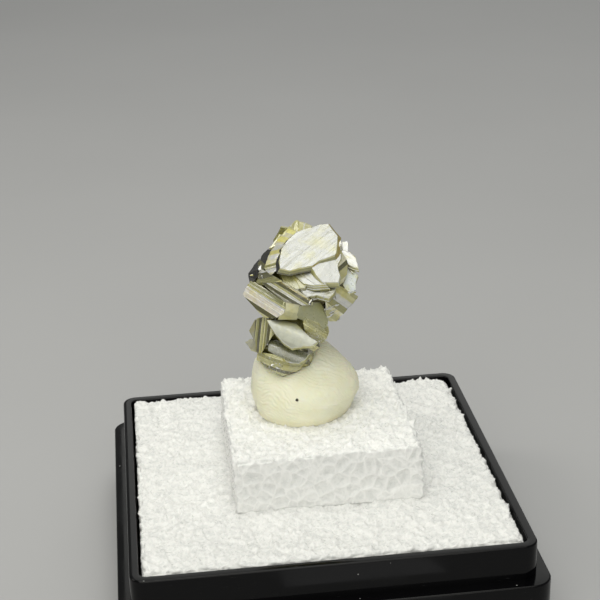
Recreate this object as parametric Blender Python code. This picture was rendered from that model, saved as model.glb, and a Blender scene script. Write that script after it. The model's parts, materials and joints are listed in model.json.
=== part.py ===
"""A thumbnail mineral specimen: a cluster of platy, striated crystals pressed into a dab of
mounting putty, on a foam pedestal and a foam liner, in the square base of a display box.
Metres, +Z up, origin at the middle of the base's underside. Sizes below are in millimetres."""

import math
import random
from collections import namedtuple

import bmesh
import bpy
from mathutils import Matrix, Vector

MM = 0.001

# Display-box base: a 1 1/4 inch square moulding with a raised rim that the lid slips over
BASE_SIDE = 31.75
SKIRT_HEIGHT = 5.7
RIM_HEIGHT = 2.8
RIM_SIDE = 29.8
WALL = 0.7
FLOOR = 1.2
SKIRT_CORNER = 1.6
RIM_CORNER = 1.1
CAVITY_CORNER = 0.6
EDGE_ROUNDING = 0.12
FOOT_BEVEL = 0.25
CORNER_STEPS = 4
SHARP_ANGLE = 35
TOP = SKIRT_HEIGHT + RIM_HEIGHT

# Foam liner, a slab that fills the base up to the rim
TOUCHING_GAP = 0.3
LINER_SIDE = 27.9
LINER_BOTTOM = FLOOR + TOUCHING_GAP
LINER_TEAR = 0.9
TEAR_POINT = (0.35, 0.3)

# Foam pedestal, a block cut by hand: its corners anticlockwise from the front left, low and high
PEDESTAL_FOOT = ((-6.55, -6.6), (7.8, -6.75), (7.9, 7.85), (-6.65, 8.05))
PEDESTAL_HEAD = ((-6.65, -6.75), (7.9, -6.55), (7.65, 8.05), (-6.5, 7.95))
PEDESTAL_TOP = TOP + 4.41
CRUSHED_EDGE = 0.28

# Putty, a pressed lump: each ring's height over the pedestal and its reach to the left and right.
# It stands upright behind the cluster's root and falls away in a slope on the right.
PUTTY_MIDDLE = (-0.25, 1.65)
PUTTY_DEPTH = 0.93
PUTTY_SHAPE = (
    (0.3, 3.75, 3.65), (0.9, 4.1, 4.05), (1.7, 4.28, 4.45), (2.5, 4.25, 4.3), (3.2, 4.15, 3.9),
    (3.8, 3.95, 3.3), (4.4, 3.5, 2.85), (4.9, 2.7, 2.4), (5.25, 1.5, 2.05), (5.45, 0.2, 1.75),
)
PUTTY_PEAK = (1.0, 0.5, 5.55)
PUTTY_LEAN = 0.5
PUTTY_SIDES = 32
# Finger marks: how many hollows go round the lump, how deep a share of its radius, and where
PUTTY_PRESSES = ((3, 0.02, 0.8), (5, 0.012, 2.1))
SOCKET_GAP = 0.15
SOCKET_RIM = 6.2
SOCKET_FLAT_ANGLE = 12

# The cluster is laid out in its own leaning frame: u across, v up, w out of its best face
CLUSTER_ORIGIN = (-0.28, 1.92, TOP + 13.6)
CLUSTER_TURN = 6.35
CLUSTER_TIP = 22.66
CLUSTER_ROLL = -1.74

Plate = namedtuple("Plate", "name outline depth right up thick flare layers")
Block = namedtuple("Block", "name corners grain pitch relief")

# Plates: flat crystals seen on their broad face. The outline is in u and v, the face passes
# through depth w at the outline's middle, and leans right and up by degrees.
PLATES = (
    Plate("crown", [(0.95, 5.65), (1.55, 5.85), (2.2, 5.9), (2.45, 5.5), (2.9, 4.95), (2.8, 3.7),
                    (2.65, 3.45), (1.4, 3.0), (0.95, 2.65), (0.0, 2.45), (-0.8, 2.25), (-1.5, 2.45),
                    (-1.55, 3.0), (-1.4, 3.9), (-0.95, 4.6), (-0.25, 5.25), (0.4, 5.5)],
          2.35, 2, 31, 0.42, 0.18, 2),
    Plate("shield", [(0.85, 2.6), (1.4, 3.05), (2.35, 3.3), (3.15, 3.55), (3.15, 3.2), (2.9, 2.75),
                     (2.9, 2.35), (3.05, 1.9), (2.9, 1.35), (1.7, 1.35), (1.25, 1.9)],
          2.95, 7, 33, 0.45, 0.16, 2),
    Plate("shield_step", [(-0.3, 1.9), (0.4, 2.1), (0.95, 2.5), (1.5, 1.8), (1.9, 1.25), (1.0, 1.2),
                          (0.25, 1.35)],
          3.2, -8, 36, 0.6, 0.2, 3),
    Plate("ledge", [(-0.1, 0.7), (0.3, 0.95), (1.55, 0.95), (2.75, 1.1), (2.6, 0.55), (2.2, 0.15),
                    (1.25, 0.4), (0.45, 0.25)],
          3.2, 2, 24, 0.6, 0.1, 2),
    Plate("blade", [(3.3, 4.55), (3.75, 4.6), (3.75, 3.85), (3.6, 3.6), (3.35, 3.9)],
          0.5, 5, 33, 0.45, 0.06, 1),
    Plate("wing", [(3.0, 3.75), (3.45, 3.85), (3.9, 3.7), (4.3, 3.3), (4.5, 2.5), (4.15, 2.6),
                   (3.75, 2.8), (3.35, 3.15), (3.05, 3.3)],
          1.35, 8, 32, 0.4, 0.1, 2),
    Plate("fin", [(3.55, 2.35), (4.0, 2.5), (4.5, 1.9), (4.3, 1.4), (4.3, 0.8), (3.9, 0.65),
                  (3.55, 0.8), (3.3, 1.2)],
          1.7, 14, 25, 0.45, 0.12, 2),
    Plate("lens", [(-2.5, -1.55), (-1.8, -1.5), (-0.95, -1.55), (-0.3, -1.7), (0.25, -2.35),
                   (0.7, -2.8), (1.25, -3.15), (0.95, -3.4), (0.3, -3.45), (-0.65, -3.5),
                   (-1.25, -3.15), (-1.8, -2.6), (-2.2, -2.05)],
          2.6, -4, 24, 0.45, 0.06, 1),
    Plate("lens_low", [(-2.45, -3.15), (-1.9, -3.0), (-1.1, -3.3), (-0.25, -3.7), (0.7, -4.1),
                       (0.4, -4.55), (-0.1, -4.8), (-0.85, -4.75), (-1.5, -4.45), (-2.05, -4.1),
                       (-2.45, -3.85)],
          1.95, -6, 18, 0.5, 0.08, 1),
    Plate("brow", [(0.0, -0.5), (0.7, -0.25), (1.6, -0.25), (2.05, -0.95), (2.2, -1.4), (2.1, -2.0),
                   (1.7, -2.4), (0.8, -1.8), (-0.25, -1.4)],
          2.65, 12, -14, 0.9, 0.06, 1),
    Plate("sliver", [(1.95, -0.7), (2.75, -0.5), (2.8, -0.65), (2.0, -1.0)],
          2.75, 10, 42, 0.3, 0.03, 1),
    Plate("sliver_low", [(1.95, -1.1), (2.8, -0.75), (2.85, -0.95), (2.05, -1.3)],
          2.6, 10, 42, 0.3, 0.03, 1),
    Plate("leaf", [(-4.0, -2.4), (-3.55, -1.55), (-3.3, -1.7), (-3.3, -3.1), (-3.6, -3.2)],
          -0.1, -24, 10, 0.4, 0.05, 1),
    Plate("leaf_low", [(-4.3, -3.3), (-3.9, -3.05), (-3.3, -3.3), (-3.35, -4.05), (-3.9, -3.85)],
          0.0, -20, 14, 0.4, 0.05, 1),
)

# Blocks: crystals seen on their edges. Each is the hull of its corners (u, v, w), cut across by
# parallel lamellae that stand out and step back along the grain, in millimetres of pitch and relief.
DIP = (0.53, 0.85, 0.0)
BLOCKS = (
    Block("left_book", [(-4.45, 0.4, 0.5), (-4.1, 1.1, 0.6), (-3.7, 1.55, 0.7), (-1.1, -0.1, 3.1),
                        (-1.25, -1.0, 3.05), (-1.9, -1.4, 2.7), (-2.8, -1.35, 1.9), (-3.35, -0.7, 1.3),
                        (0.0, 0.25, -0.4), (-3.0, 0.1, -1.2), (-0.8, -1.55, 0.0)],
          DIP, 0.32, 0.10),
    Block("left_side", [(-1.25, -0.15, 3.1), (0.25, -0.3, 3.0), (0.1, -0.95, 2.85), (-0.25, -1.5, 2.6),
                        (-1.7, -1.5, 2.65), (-1.4, -1.0, 3.0), (0.0, 0.0, 0.5), (-1.2, -1.55, 0.5)],
          (0.3, 0.95, 0.1), 0.6, 0.02),
    Block("rib_book", [(-3.0, 1.35, 1.6), (-2.5, 1.65, 2.0), (-1.35, 1.5, 2.7), (-0.85, 1.0, 3.1),
                       (-0.1, 0.8, 3.4), (0.45, 0.3, 3.45), (0.95, -0.3, 3.2), (0.25, -0.4, 3.2),
                       (-1.1, -0.15, 3.15), (-2.2, 0.65, 2.5), (-1.2, 1.7, 0.5), (0.4, 0.8, 0.5),
                       (-0.4, -0.45, 1.0)],
          DIP, 0.22, 0.12),
    Block("right_block", [(2.25, 0.7, 2.9), (2.8, 1.25, 2.75), (3.55, 0.8, 2.2), (4.5, 0.3, 1.2),
                          (4.45, 0.1, 1.0), (3.75, -0.55, 1.3), (3.2, -1.2, 1.5), (2.75, -1.65, 1.7),
                          (2.25, -1.65, 2.1), (1.95, -1.0, 2.6), (1.95, 0.0, 3.0), (3.55, 0.3, -1.5),
                          (2.75, 0.95, -1.0), (2.6, -1.4, -0.8)],
          (0.57, 0.82, 0.0), 0.42, 0.05),
    Block("shoulder", [(2.8, 3.6, 2.2), (3.2, 3.9, 1.5), (3.7, 2.8, 1.9), (3.6, 1.95, 2.0),
                       (3.2, 1.1, 2.3), (2.75, 1.2, 2.8), (2.9, 2.35, 2.7), (3.0, 3.0, 2.4),
                       (3.55, 3.15, -1.0), (3.15, 1.2, -1.0)],
          (-0.5, 0.8, 0.2), 0.4, 0.05),
    Block("collar", [(0.25, -1.55, 2.5), (0.65, -1.35, 2.6), (1.55, -1.55, 2.4), (2.2, -2.05, 1.8),
                     (2.15, -2.75, 1.7), (1.95, -3.05, 1.5), (1.65, -3.35, 1.5), (1.1, -3.2, 1.9),
                     (0.4, -2.5, 2.4), (1.55, -1.7, -1.2), (1.4, -3.3, -0.8), (0.0, -2.35, -0.5)],
          (0.57, 0.82, 0.1), 0.3, 0.09),
    Block("peak", [(-0.25, 6.25, 0.6), (0.3, 6.1, 0.2), (0.95, 5.75, 0.5), (1.0, 5.4, 1.0),
                   (0.4, 5.35, 1.3), (-0.1, 5.25, 1.5), (-0.55, 5.35, 1.2), (-0.8, 5.8, 0.5),
                   (0.0, 5.95, -1.3), (0.85, 5.55, -1.2), (-0.65, 5.35, -1.0)],
          (0.9, 0.2, 0.3), 0.34, 0.05),
    Block("gold", [(-0.8, 5.8, 0.6), (-0.3, 5.35, 1.4), (-0.25, 5.1, 1.6), (-1.2, 4.15, 2.3),
                   (-1.95, 4.4, 1.2), (-1.55, 4.75, 0.8), (-1.35, 5.15, 0.6), (-1.1, 5.4, 0.5),
                   (-0.45, 5.1, -1.0), (-1.4, 4.3, -1.0)],
          (0.6, 0.7, -0.3), 0.5, 0.03),
    Block("stair", [(-2.5, 4.0, 1.1), (-1.9, 4.45, 1.3), (-1.25, 4.3, 2.2), (-1.4, 3.75, 2.6),
                    (-1.6, 2.45, 2.9), (-2.2, 1.9, 2.6), (-2.75, 2.45, 2.0), (-2.35, 3.35, 1.8),
                    (-1.55, 3.9, -0.5), (-2.2, 2.5, -0.5)],
          (-0.35, 0.9, 0.15), 0.3, 0.09),
    Block("dark_left", [(-3.0, 3.45, 0.6), (-2.5, 3.95, 0.9), (-2.05, 3.9, 1.6), (-2.25, 3.35, 1.9),
                        (-2.8, 2.25, 1.9), (-3.3, 2.1, 1.2), (-3.3, 2.8, 0.8), (-2.5, 3.45, -1.2),
                        (-2.8, 2.35, -1.2)],
          (0.3, 0.9, 0.2), 0.6, 0.04),
    Block("black_left", [(-4.05, 2.1, 0.1), (-3.6, 2.75, 0.2), (-3.15, 3.25, 0.3), (-3.15, 2.8, 1.0),
                         (-3.35, 2.35, 1.25), (-3.3, 1.8, 1.3), (-3.9, 1.2, 0.5), (-3.0, 2.65, -1.0),
                         (-3.3, 1.55, -1.0)],
          (0.2, 0.95, 0.1), 0.7, 0.04),
    Block("cheek", [(-4.0, 1.95, 0.4), (-3.45, 2.25, 1.2), (-2.9, 2.35, 2.0), (-2.1, 1.9, 2.7),
                    (-1.25, 1.4, 2.9), (-2.2, 1.35, 2.5), (-3.0, 1.4, 1.8), (-3.7, 1.4, 1.0),
                    (-4.1, 1.1, 0.4), (-2.75, 1.9, -1.0), (-3.0, 1.1, -0.5)],
          (-0.4, 0.9, 0.2), 0.55, 0.04),
    Block("ribs", [(-3.5, -1.55, 0.4), (-3.0, -1.35, 1.1), (-2.6, -1.4, 1.6), (-1.9, -2.45, 2.1),
                   (-2.45, -3.2, 1.9), (-3.0, -4.1, 1.5), (-3.4, -4.0, 0.9), (-3.55, -2.8, 0.5),
                   (-2.5, -1.7, -1.0), (-3.0, -3.75, -1.0), (-3.45, -2.75, -0.8)],
          (0.95, -0.1, 0.3), 0.26, 0.08),
    Block("foot", [(-3.35, -4.0, 0.9), (-2.35, -4.15, 1.8), (-1.35, -4.55, 2.0), (0.0, -4.7, 1.5),
                   (0.3, -4.45, 1.2), (0.1, -5.35, 1.1), (-0.8, -5.6, 1.4), (-1.35, -5.9, 1.4),
                   (-2.45, -5.35, 1.3), (-3.0, -4.8, 0.9), (-1.2, -6.05, -0.6), (-3.0, -4.7, -0.9),
                   (0.0, -5.15, -0.8)],
          (0.25, 0.95, 0.2), 0.4, 0.06),
    Block("hip", [(0.0, -3.45, 2.0), (0.8, -3.35, 1.8), (1.4, -3.3, 1.5), (1.55, -3.6, 1.2),
                  (0.85, -4.0, 1.2), (0.45, -4.4, 1.2), (0.0, -4.1, 1.8), (1.2, -3.55, -1.0),
                  (0.25, -4.4, -1.0)],
          DIP, 0.3, 0.06),
)
# A plate's walls lean out over this share of the ledge that follows them
WALL_LEAN = 0.55
SHARPEST_MITRE = 0.3
LONGEST_MITRE = 1.8
# A block's lamellae: first one's place and the spacing between them, as shares of the pitch
FIRST_LAMELLA = (0.5, 0.9)
LAMELLA_SPACING = (0.7, 1.35)
LAST_LAMELLA = 0.4
LEDGE = 0.03
LEDGE_DEPTH = 0.4
DEEPEST_PLAIN_RELIEF = 0.055
RELIEF_SPREAD = 0.5
CUT_TOLERANCE = 1e-5
REPEAT_COARSE = 1.7
FLAT_ANGLE = 1.0
GRAIN_SEED = 11

# The hidden heart that every crystal grows out of, as ellipsoids (middle, radii)
HEARTS = (
    ((0.2, 2.1, -0.2), (3.55, 3.4, 2.75)),
    ((-0.9, -1.6, 0.0), (2.1, 2.5, 1.95)),
    ((-1.3, -3.9, -0.1), (1.5, 1.7, 1.2)),
)

# Growth repeats round the cluster's long axis: (turn in degrees, size, drop, which crystals)
HEAD_AXIS = (0.15, -0.25)
NECK_AXIS = (-1.0, -0.2)
HEAD_TURNS = (
    (122, 0.84, 0.75, ("crown",)),
    (122, 0.84, 0.1, ("shield", "ledge", "wing", "left_book", "left_side", "rib_book", "right_block")),
    (-124, 0.8, 0.6, ("crown",)),
    (-124, 0.8, 0.1, ("shield", "shield_step", "fin", "left_book", "left_side", "brow")),
    (180, 0.78, 0.1, ("crown",)),
    (174, 0.92, 0.3, ("shield", "right_block", "left_side", "cheek")),
)
NECK_TURNS = (
    (118, 0.88, 0.0, ("lens", "lens_low", "ribs", "foot", "collar")),
    (-120, 0.84, 0.1, ("lens", "lens_low", "foot", "hip")),
)


def clear_scene():
    for obj in list(bpy.data.objects):
        bpy.data.objects.remove(obj)


def material(name, colour, roughness, metallic=0.0):
    made = bpy.data.materials.new(name)
    made.use_nodes = True
    shader = made.node_tree.nodes["Principled BSDF"]
    shader.inputs["Base Color"].default_value = (*colour, 1.0)
    shader.inputs["Roughness"].default_value = roughness
    shader.inputs["Metallic"].default_value = metallic
    return made


def object_from(bm, name, finish=None):
    """A new object from a bmesh whose points are in millimetres."""
    bmesh.ops.scale(bm, vec=(MM, MM, MM), verts=bm.verts)
    mesh = bpy.data.meshes.new(name)
    bm.to_mesh(mesh)
    bm.free()
    obj = bpy.data.objects.new(name, mesh)
    bpy.context.scene.collection.objects.link(obj)
    if finish:
        mesh.materials.append(finish)
    return obj


def rounded_square(side, corner):
    """The outline of a square with round corners, anticlockwise."""
    half = side / 2 - corner
    outline = []
    for quarter in range(4):
        start = quarter * math.pi / 2
        middle = Vector((math.cos(start) - math.sin(start), math.sin(start) + math.cos(start))) * half
        for step in range(CORNER_STEPS + 1):
            angle = start + step / CORNER_STEPS * math.pi / 2
            outline.append(middle + Vector((math.cos(angle), math.sin(angle))) * corner)
    return outline


def slab(bm, outline, low, high):
    """A closed upright prism added to a bmesh."""
    bottom = [bm.verts.new((x, y, low)) for x, y in outline]
    top = [bm.verts.new((x, y, high)) for x, y in outline]
    bm.faces.new(list(reversed(bottom)))
    bm.faces.new(top)
    for i in range(len(outline)):
        j = (i + 1) % len(outline)
        bm.faces.new((bottom[i], bottom[j], top[j], top[i]))


def add_boolean(obj, operation, other=None, group=None):
    cut = obj.modifiers.new("Join" if operation == "UNION" else "Cut", "BOOLEAN")
    cut.operation = operation
    cut.solver = "EXACT"
    if group:
        cut.operand_type = "COLLECTION"
        cut.collection = group
    else:
        cut.object = other


def hide_helper(obj):
    obj.hide_render = True
    obj.display_type = "WIRE"


def make_tray(finish):
    """The base: a skirt, a narrower rim above its shoulder, and one square cavity."""
    bm = bmesh.new()
    levels = (
        (0.0, BASE_SIDE - 2 * FOOT_BEVEL, SKIRT_CORNER),
        (FOOT_BEVEL, BASE_SIDE, SKIRT_CORNER),
        (SKIRT_HEIGHT - EDGE_ROUNDING, BASE_SIDE, SKIRT_CORNER),
        (SKIRT_HEIGHT, BASE_SIDE - 2 * EDGE_ROUNDING, SKIRT_CORNER),
        (SKIRT_HEIGHT, RIM_SIDE, RIM_CORNER),
        (TOP - EDGE_ROUNDING, RIM_SIDE, RIM_CORNER),
        (TOP, RIM_SIDE - 2 * EDGE_ROUNDING, RIM_CORNER),
        (TOP, RIM_SIDE - 2 * WALL, CAVITY_CORNER),
        (FLOOR, RIM_SIDE - 2 * WALL, CAVITY_CORNER),
    )
    rings = [[bm.verts.new((x, y, z)) for x, y in rounded_square(side, corner)]
             for z, side, corner in levels]
    count = len(rings[0])
    bm.faces.new(list(reversed(rings[0])))
    bm.faces.new(rings[-1])
    for low, high in zip(rings, rings[1:]):
        for i in range(count):
            j = (i + 1) % count
            bm.faces.new((low[i], low[j], high[j], high[i]))
    tray = object_from(bm, "base_tray", finish)
    tray.data.shade_smooth()
    tray.data.set_sharp_from_angle(angle=math.radians(SHARP_ANGLE))
    return tray


def make_liner(finish):
    """The liner slab, with one torn corner at the back right."""
    half = LINER_SIDE / 2
    torn = half - LINER_TEAR
    outline = [(-half, -half), (half, -half), (half, torn),
               (half - TEAR_POINT[0], half - TEAR_POINT[1]), (torn, half), (-half, half)]
    bm = bmesh.new()
    slab(bm, outline, LINER_BOTTOM, TOP)
    return object_from(bm, "foam_liner", finish)


def make_pedestal(finish):
    """A block of the same foam, its sides not quite straight and its edges a little crushed."""
    bm = bmesh.new()
    low = [bm.verts.new((x, y, TOP + TOUCHING_GAP)) for x, y in PEDESTAL_FOOT]
    high = [bm.verts.new((x, y, PEDESTAL_TOP)) for x, y in PEDESTAL_HEAD]
    bm.faces.new(list(reversed(low)))
    bm.faces.new(high)
    for i in range(4):
        j = (i + 1) % 4
        bm.faces.new((low[i], low[j], high[j], high[i]))
    pedestal = object_from(bm, "foam_pedestal", finish)
    crushed = pedestal.modifiers.new("Crushed edges", "BEVEL")
    crushed.width = CRUSHED_EDGE * MM
    crushed.segments = 2
    crushed.limit_method = "ANGLE"
    return pedestal


def cluster_matrix():
    """From the cluster's own u, v, w to the base's frame, both in millimetres."""
    turn, tip, roll = (math.radians(a) for a in (CLUSTER_TURN, CLUSTER_TIP, CLUSTER_ROLL))
    ahead = Vector((math.sin(turn) * math.cos(tip), math.cos(turn) * math.cos(tip), -math.sin(tip)))
    level = Vector((math.cos(turn), -math.sin(turn), 0.0))
    upward = level.cross(ahead)
    across = level * math.cos(roll) + upward * math.sin(roll)
    upright = upward * math.cos(roll) - level * math.sin(roll)
    turned = Matrix((across, upright, -ahead)).transposed().to_4x4()
    return Matrix.Translation(CLUSTER_ORIGIN) @ turned


def offset_outline(outline, distance):
    """The outline moved outwards by a distance, with its corners kept as corners."""
    count = len(outline)
    area = sum(outline[i][0] * outline[(i + 1) % count][1] - outline[(i + 1) % count][0] * outline[i][1]
               for i in range(count))
    side = 1.0 if area > 0 else -1.0
    moved = []
    for i, point in enumerate(outline):
        before = (Vector(point) - Vector(outline[i - 1])).normalized()
        after = (Vector(outline[(i + 1) % count]) - Vector(point)).normalized()
        normals = [Vector((d.y, -d.x)) * side for d in (before, after)]
        mitre = (normals[0] + normals[1]).normalized()
        stretch = min(1.0 / max(mitre.dot(normals[0]), SHARPEST_MITRE), LONGEST_MITRE)
        moved.append(Vector(point) + mitre * distance * stretch)
    return moved


def plate_mesh(plate):
    """A flat crystal: its face, then one wall and one ledge for each lamella behind it."""
    right, up = math.radians(plate.right), math.radians(plate.up)
    normal = Vector((math.sin(right), math.cos(right) * math.sin(up), math.cos(right) * math.cos(up)))
    middle = sum((Vector(p) for p in plate.outline), Vector((0.0, 0.0))) / len(plate.outline)
    step = plate.thick / plate.layers
    grow = plate.flare / plate.layers
    profile = [(0.0, 0.0)]
    for layer in range(plate.layers):
        profile.append(((layer + 1) * step, (layer + WALL_LEAN) * grow))
        if layer + 1 < plate.layers:
            profile.append(((layer + 1) * step, (layer + 1) * grow))
    bm = bmesh.new()
    rings = []
    for back, out in profile:
        ring = []
        for u, v in offset_outline(plate.outline, out):
            w = plate.depth - ((u - middle.x) * normal.x + (v - middle.y) * normal.y) / normal.z
            ring.append(bm.verts.new(Vector((u, v, w)) - normal * back))
        rings.append(ring)
    bm.faces.new(rings[0])
    bm.faces.new(list(reversed(rings[-1])))
    for ring, behind in zip(rings, rings[1:]):
        for i in range(len(ring)):
            j = (i + 1) % len(ring)
            bm.faces.new((ring[j], ring[i], behind[i], behind[j]))
    bmesh.ops.triangulate(bm, faces=bm.faces)
    bmesh.ops.recalc_face_normals(bm, faces=bm.faces)
    return bm


def cut_ring(bm, grain, distance):
    """The new points where a plane across the grain cuts the whole mesh."""
    cut = bmesh.ops.bisect_plane(bm, geom=bm.verts[:] + bm.edges[:] + bm.faces[:],
                                 dist=CUT_TOLERANCE, plane_co=grain * distance, plane_no=grain)
    return [item for item in cut["geom_cut"] if isinstance(item, bmesh.types.BMVert)]


def block_mesh(block, fine, draw):
    """A thick crystal: the hull of its corners, with lamellae that step in and out along its grain.
    Where a fine one's relief is deep, each lamella ends in a ledge."""
    bm = bmesh.new()
    for corner in block.corners:
        bm.verts.new(corner)
    hull = bmesh.ops.convex_hull(bm, input=bm.verts)
    bmesh.ops.delete(bm, geom=hull["geom_interior"], context="VERTS")
    grain = Vector(block.grain).normalized()
    pitch = block.pitch * (1.0 if fine else REPEAT_COARSE)
    reach = [vert.co.dot(grain) for vert in bm.verts]
    middle = sum((vert.co for vert in bm.verts), Vector()) / len(bm.verts)
    at = min(reach) + pitch * draw.uniform(*FIRST_LAMELLA)
    side = 1.0
    while at < max(reach) - LAST_LAMELLA * pitch:
        out = block.relief * draw.uniform(1.0 - RELIEF_SPREAD, 1.0)
        if fine and block.relief > DEEPEST_PLAIN_RELIEF:
            steps = ((at, out), (at + LEDGE, -LEDGE_DEPTH * out))
        else:
            steps = ((at, side * out),)
        for distance, amount in steps:
            for vert in cut_ring(bm, grain, distance):
                away = vert.co - middle
                away -= grain * away.dot(grain)
                vert.co += away.normalized() * amount
        side = -side
        at += pitch * draw.uniform(*LAMELLA_SPACING)
    bmesh.ops.triangulate(bm, faces=bm.faces)
    bmesh.ops.recalc_face_normals(bm, faces=bm.faces)
    return bm


def heart_mesh(middle, radii):
    bm = bmesh.new()
    bmesh.ops.create_icosphere(bm, subdivisions=1, radius=1.0,
                               matrix=Matrix.Translation(middle) @ Matrix.Diagonal((*radii, 1.0)))
    return bm


def turn_about(axis, degrees, size, drop):
    """A turn and a change of size about an upright axis at (u, w), and a drop along it."""
    there = Matrix.Translation((axis[0], 0.0, axis[1]))
    dropped = Matrix.Translation((axis[0], -drop, axis[1]))
    growth = Matrix.Diagonal((size, 1.0, size, 1.0))
    return dropped @ Matrix.Rotation(math.radians(degrees), 4, "Y") @ growth @ there.inverted()


def keep_outer_skin(obj):
    """The object's modifiers made real, and every pocket sealed between its crystals filled."""
    bpy.context.view_layer.update()
    made = bpy.data.meshes.new_from_object(obj.evaluated_get(bpy.context.evaluated_depsgraph_get()))
    obj.modifiers.clear()
    bm = bmesh.new()
    bm.from_mesh(made)
    left = set(bm.verts)
    skins = []
    while left:
        skin = [left.pop()]
        for vert in skin:
            reached = {edge.other_vert(vert) for edge in vert.link_edges} & left
            left -= reached
            skin.extend(reached)
        skins.append(skin)
    skins.sort(key=len)
    bmesh.ops.delete(bm, geom=[vert for skin in skins[:-1] for vert in skin], context="VERTS")
    bm.to_mesh(obj.data)
    bm.free()


def make_cluster(finish):
    """All crystals joined in one solid: the front ones, and their repeats round the long axis.
    It gives back the crystals' points, in millimetres."""
    to_base = cluster_matrix()
    crystals = {crystal.name: crystal for crystal in PLATES + BLOCKS}
    growth = [(name, Matrix.Identity(4), "front") for name in crystals]
    for axis, turns in ((HEAD_AXIS, HEAD_TURNS), (NECK_AXIS, NECK_TURNS)):
        for degrees, size, drop, names in turns:
            turned = turn_about(axis, degrees, size, drop)
            growth += [(name, turned, f"turned_{degrees % 360}") for name in names]
    group = bpy.data.collections.new("crystals")
    bpy.context.scene.collection.children.link(group)
    draw = random.Random(GRAIN_SEED)
    points = []
    for name, turned, where in growth:
        crystal = crystals[name]
        if isinstance(crystal, Plate):
            bm = plate_mesh(crystal)
        else:
            bm = block_mesh(crystal, where == "front", draw)
        bmesh.ops.transform(bm, matrix=to_base @ turned, verts=bm.verts)
        points += [vert.co.copy() for vert in bm.verts]
        grown = object_from(bm, f"{name}_{where}")
        bpy.context.scene.collection.objects.unlink(grown)
        group.objects.link(grown)
        hide_helper(grown)
    for index, (middle, radii) in enumerate(HEARTS[1:]):
        bm = heart_mesh(middle, radii)
        bmesh.ops.transform(bm, matrix=to_base, verts=bm.verts)
        heart = object_from(bm, f"heart_{index}")
        bpy.context.scene.collection.objects.unlink(heart)
        group.objects.link(heart)
        hide_helper(heart)
    bm = heart_mesh(*HEARTS[0])
    bmesh.ops.transform(bm, matrix=to_base, verts=bm.verts)
    cluster = object_from(bm, "crystal_cluster", finish)
    add_boolean(cluster, "UNION", group=group)
    flat = cluster.modifiers.new("Flat faces whole", "DECIMATE")
    flat.decimate_type = "DISSOLVE"
    flat.angle_limit = math.radians(FLAT_ANGLE)
    keep_outer_skin(cluster)
    for grown in list(group.objects):
        bpy.data.objects.remove(grown)
    bpy.data.collections.remove(group)
    return points


def socket_mesh(points):
    """The room the cluster's root takes in the putty: the hull of its lowest points, let out."""
    bm = bmesh.new()
    for point in points:
        if point.z < PEDESTAL_TOP + SOCKET_RIM:
            bm.verts.new(point)
    hull = bmesh.ops.convex_hull(bm, input=bm.verts)
    spare = list(set(hull["geom_interior"]) | set(hull["geom_unused"]))
    bmesh.ops.delete(bm, geom=spare, context="VERTS")
    bmesh.ops.dissolve_limit(bm, angle_limit=math.radians(SOCKET_FLAT_ANGLE), verts=bm.verts, edges=bm.edges)
    bm.normal_update()
    moved = [vert.co + vert.normal * SOCKET_GAP for vert in bm.verts]
    for vert, place in zip(bm.verts, moved):
        vert.co = place
    bmesh.ops.triangulate(bm, faces=bm.faces)
    bmesh.ops.recalc_face_normals(bm, faces=bm.faces)
    return bm


def putty_mesh():
    """The lump as rings, from its flat underside to its peak."""
    bm = bmesh.new()
    rings = []
    for height, left, right in PUTTY_SHAPE:
        middle_x = PUTTY_MIDDLE[0] + (right - left) / 2
        middle_y = PUTTY_MIDDLE[1] + PUTTY_LEAN * (height / PUTTY_PEAK[2]) ** 2
        reach = (left + right) / 2
        ring = []
        for side in range(PUTTY_SIDES):
            angle = side / PUTTY_SIDES * math.tau
            pressed = 1.0 + sum(deep * math.sin(count * angle + start)
                                for count, deep, start in PUTTY_PRESSES)
            x = middle_x + reach * pressed * math.cos(angle)
            y = middle_y + reach * pressed * PUTTY_DEPTH * math.sin(angle)
            ring.append(bm.verts.new((x, y, PEDESTAL_TOP + height)))
        rings.append(ring)
    peak = bm.verts.new((PUTTY_MIDDLE[0] + PUTTY_PEAK[0], PUTTY_MIDDLE[1] + PUTTY_PEAK[1],
                         PEDESTAL_TOP + PUTTY_PEAK[2]))
    bm.faces.new(list(reversed(rings[0])))
    for low, high in zip(rings, rings[1:]):
        for i in range(PUTTY_SIDES):
            j = (i + 1) % PUTTY_SIDES
            bm.faces.new((low[i], low[j], high[j], high[i]))
    for i in range(PUTTY_SIDES):
        bm.faces.new((rings[-1][i], rings[-1][(i + 1) % PUTTY_SIDES], peak))
    return bm


def make_putty(finish, root_points):
    """The lump, less the socket that the cluster's root was pressed into."""
    putty = object_from(putty_mesh(), "mounting_putty", finish)
    putty.data.shade_smooth()
    socket = object_from(socket_mesh(root_points), "socket")
    hide_helper(socket)
    add_boolean(putty, "DIFFERENCE", socket)
    return putty


def main():
    clear_scene()
    tray = make_tray(material("black_polystyrene", (0.012, 0.012, 0.014), 0.16))
    foam = material("white_foam", (0.86, 0.87, 0.88), 0.9)
    make_liner(foam)
    make_pedestal(foam)
    points = make_cluster(material("olive_crystal", (0.62, 0.62, 0.42), 0.14, 0.3))
    make_putty(material("cream_putty", (0.80, 0.76, 0.56), 0.55), points)


main()
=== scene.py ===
# %% [markdown]
# # A thumbnail mineral specimen
# The object is a cluster of platy, striated crystals, about 12 mm tall. Its root is pressed into a
# dab of cream putty, on a block of white foam, on a foam liner, in the square black base of a
# display box. The crystals carry the looks: flat bright faces, thin lamellae, olive translucent
# edges. The rest is quiet, and needs its own small-scale finish: foam cells, finger ridges in the
# putty, fine scratches in the moulding.
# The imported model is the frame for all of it. Every piece made here lies where its solid does.

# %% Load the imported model
import json
import math
import random
from collections import namedtuple

import bmesh
import bpy
import numpy as np
from mathutils import Matrix, Vector

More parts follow.
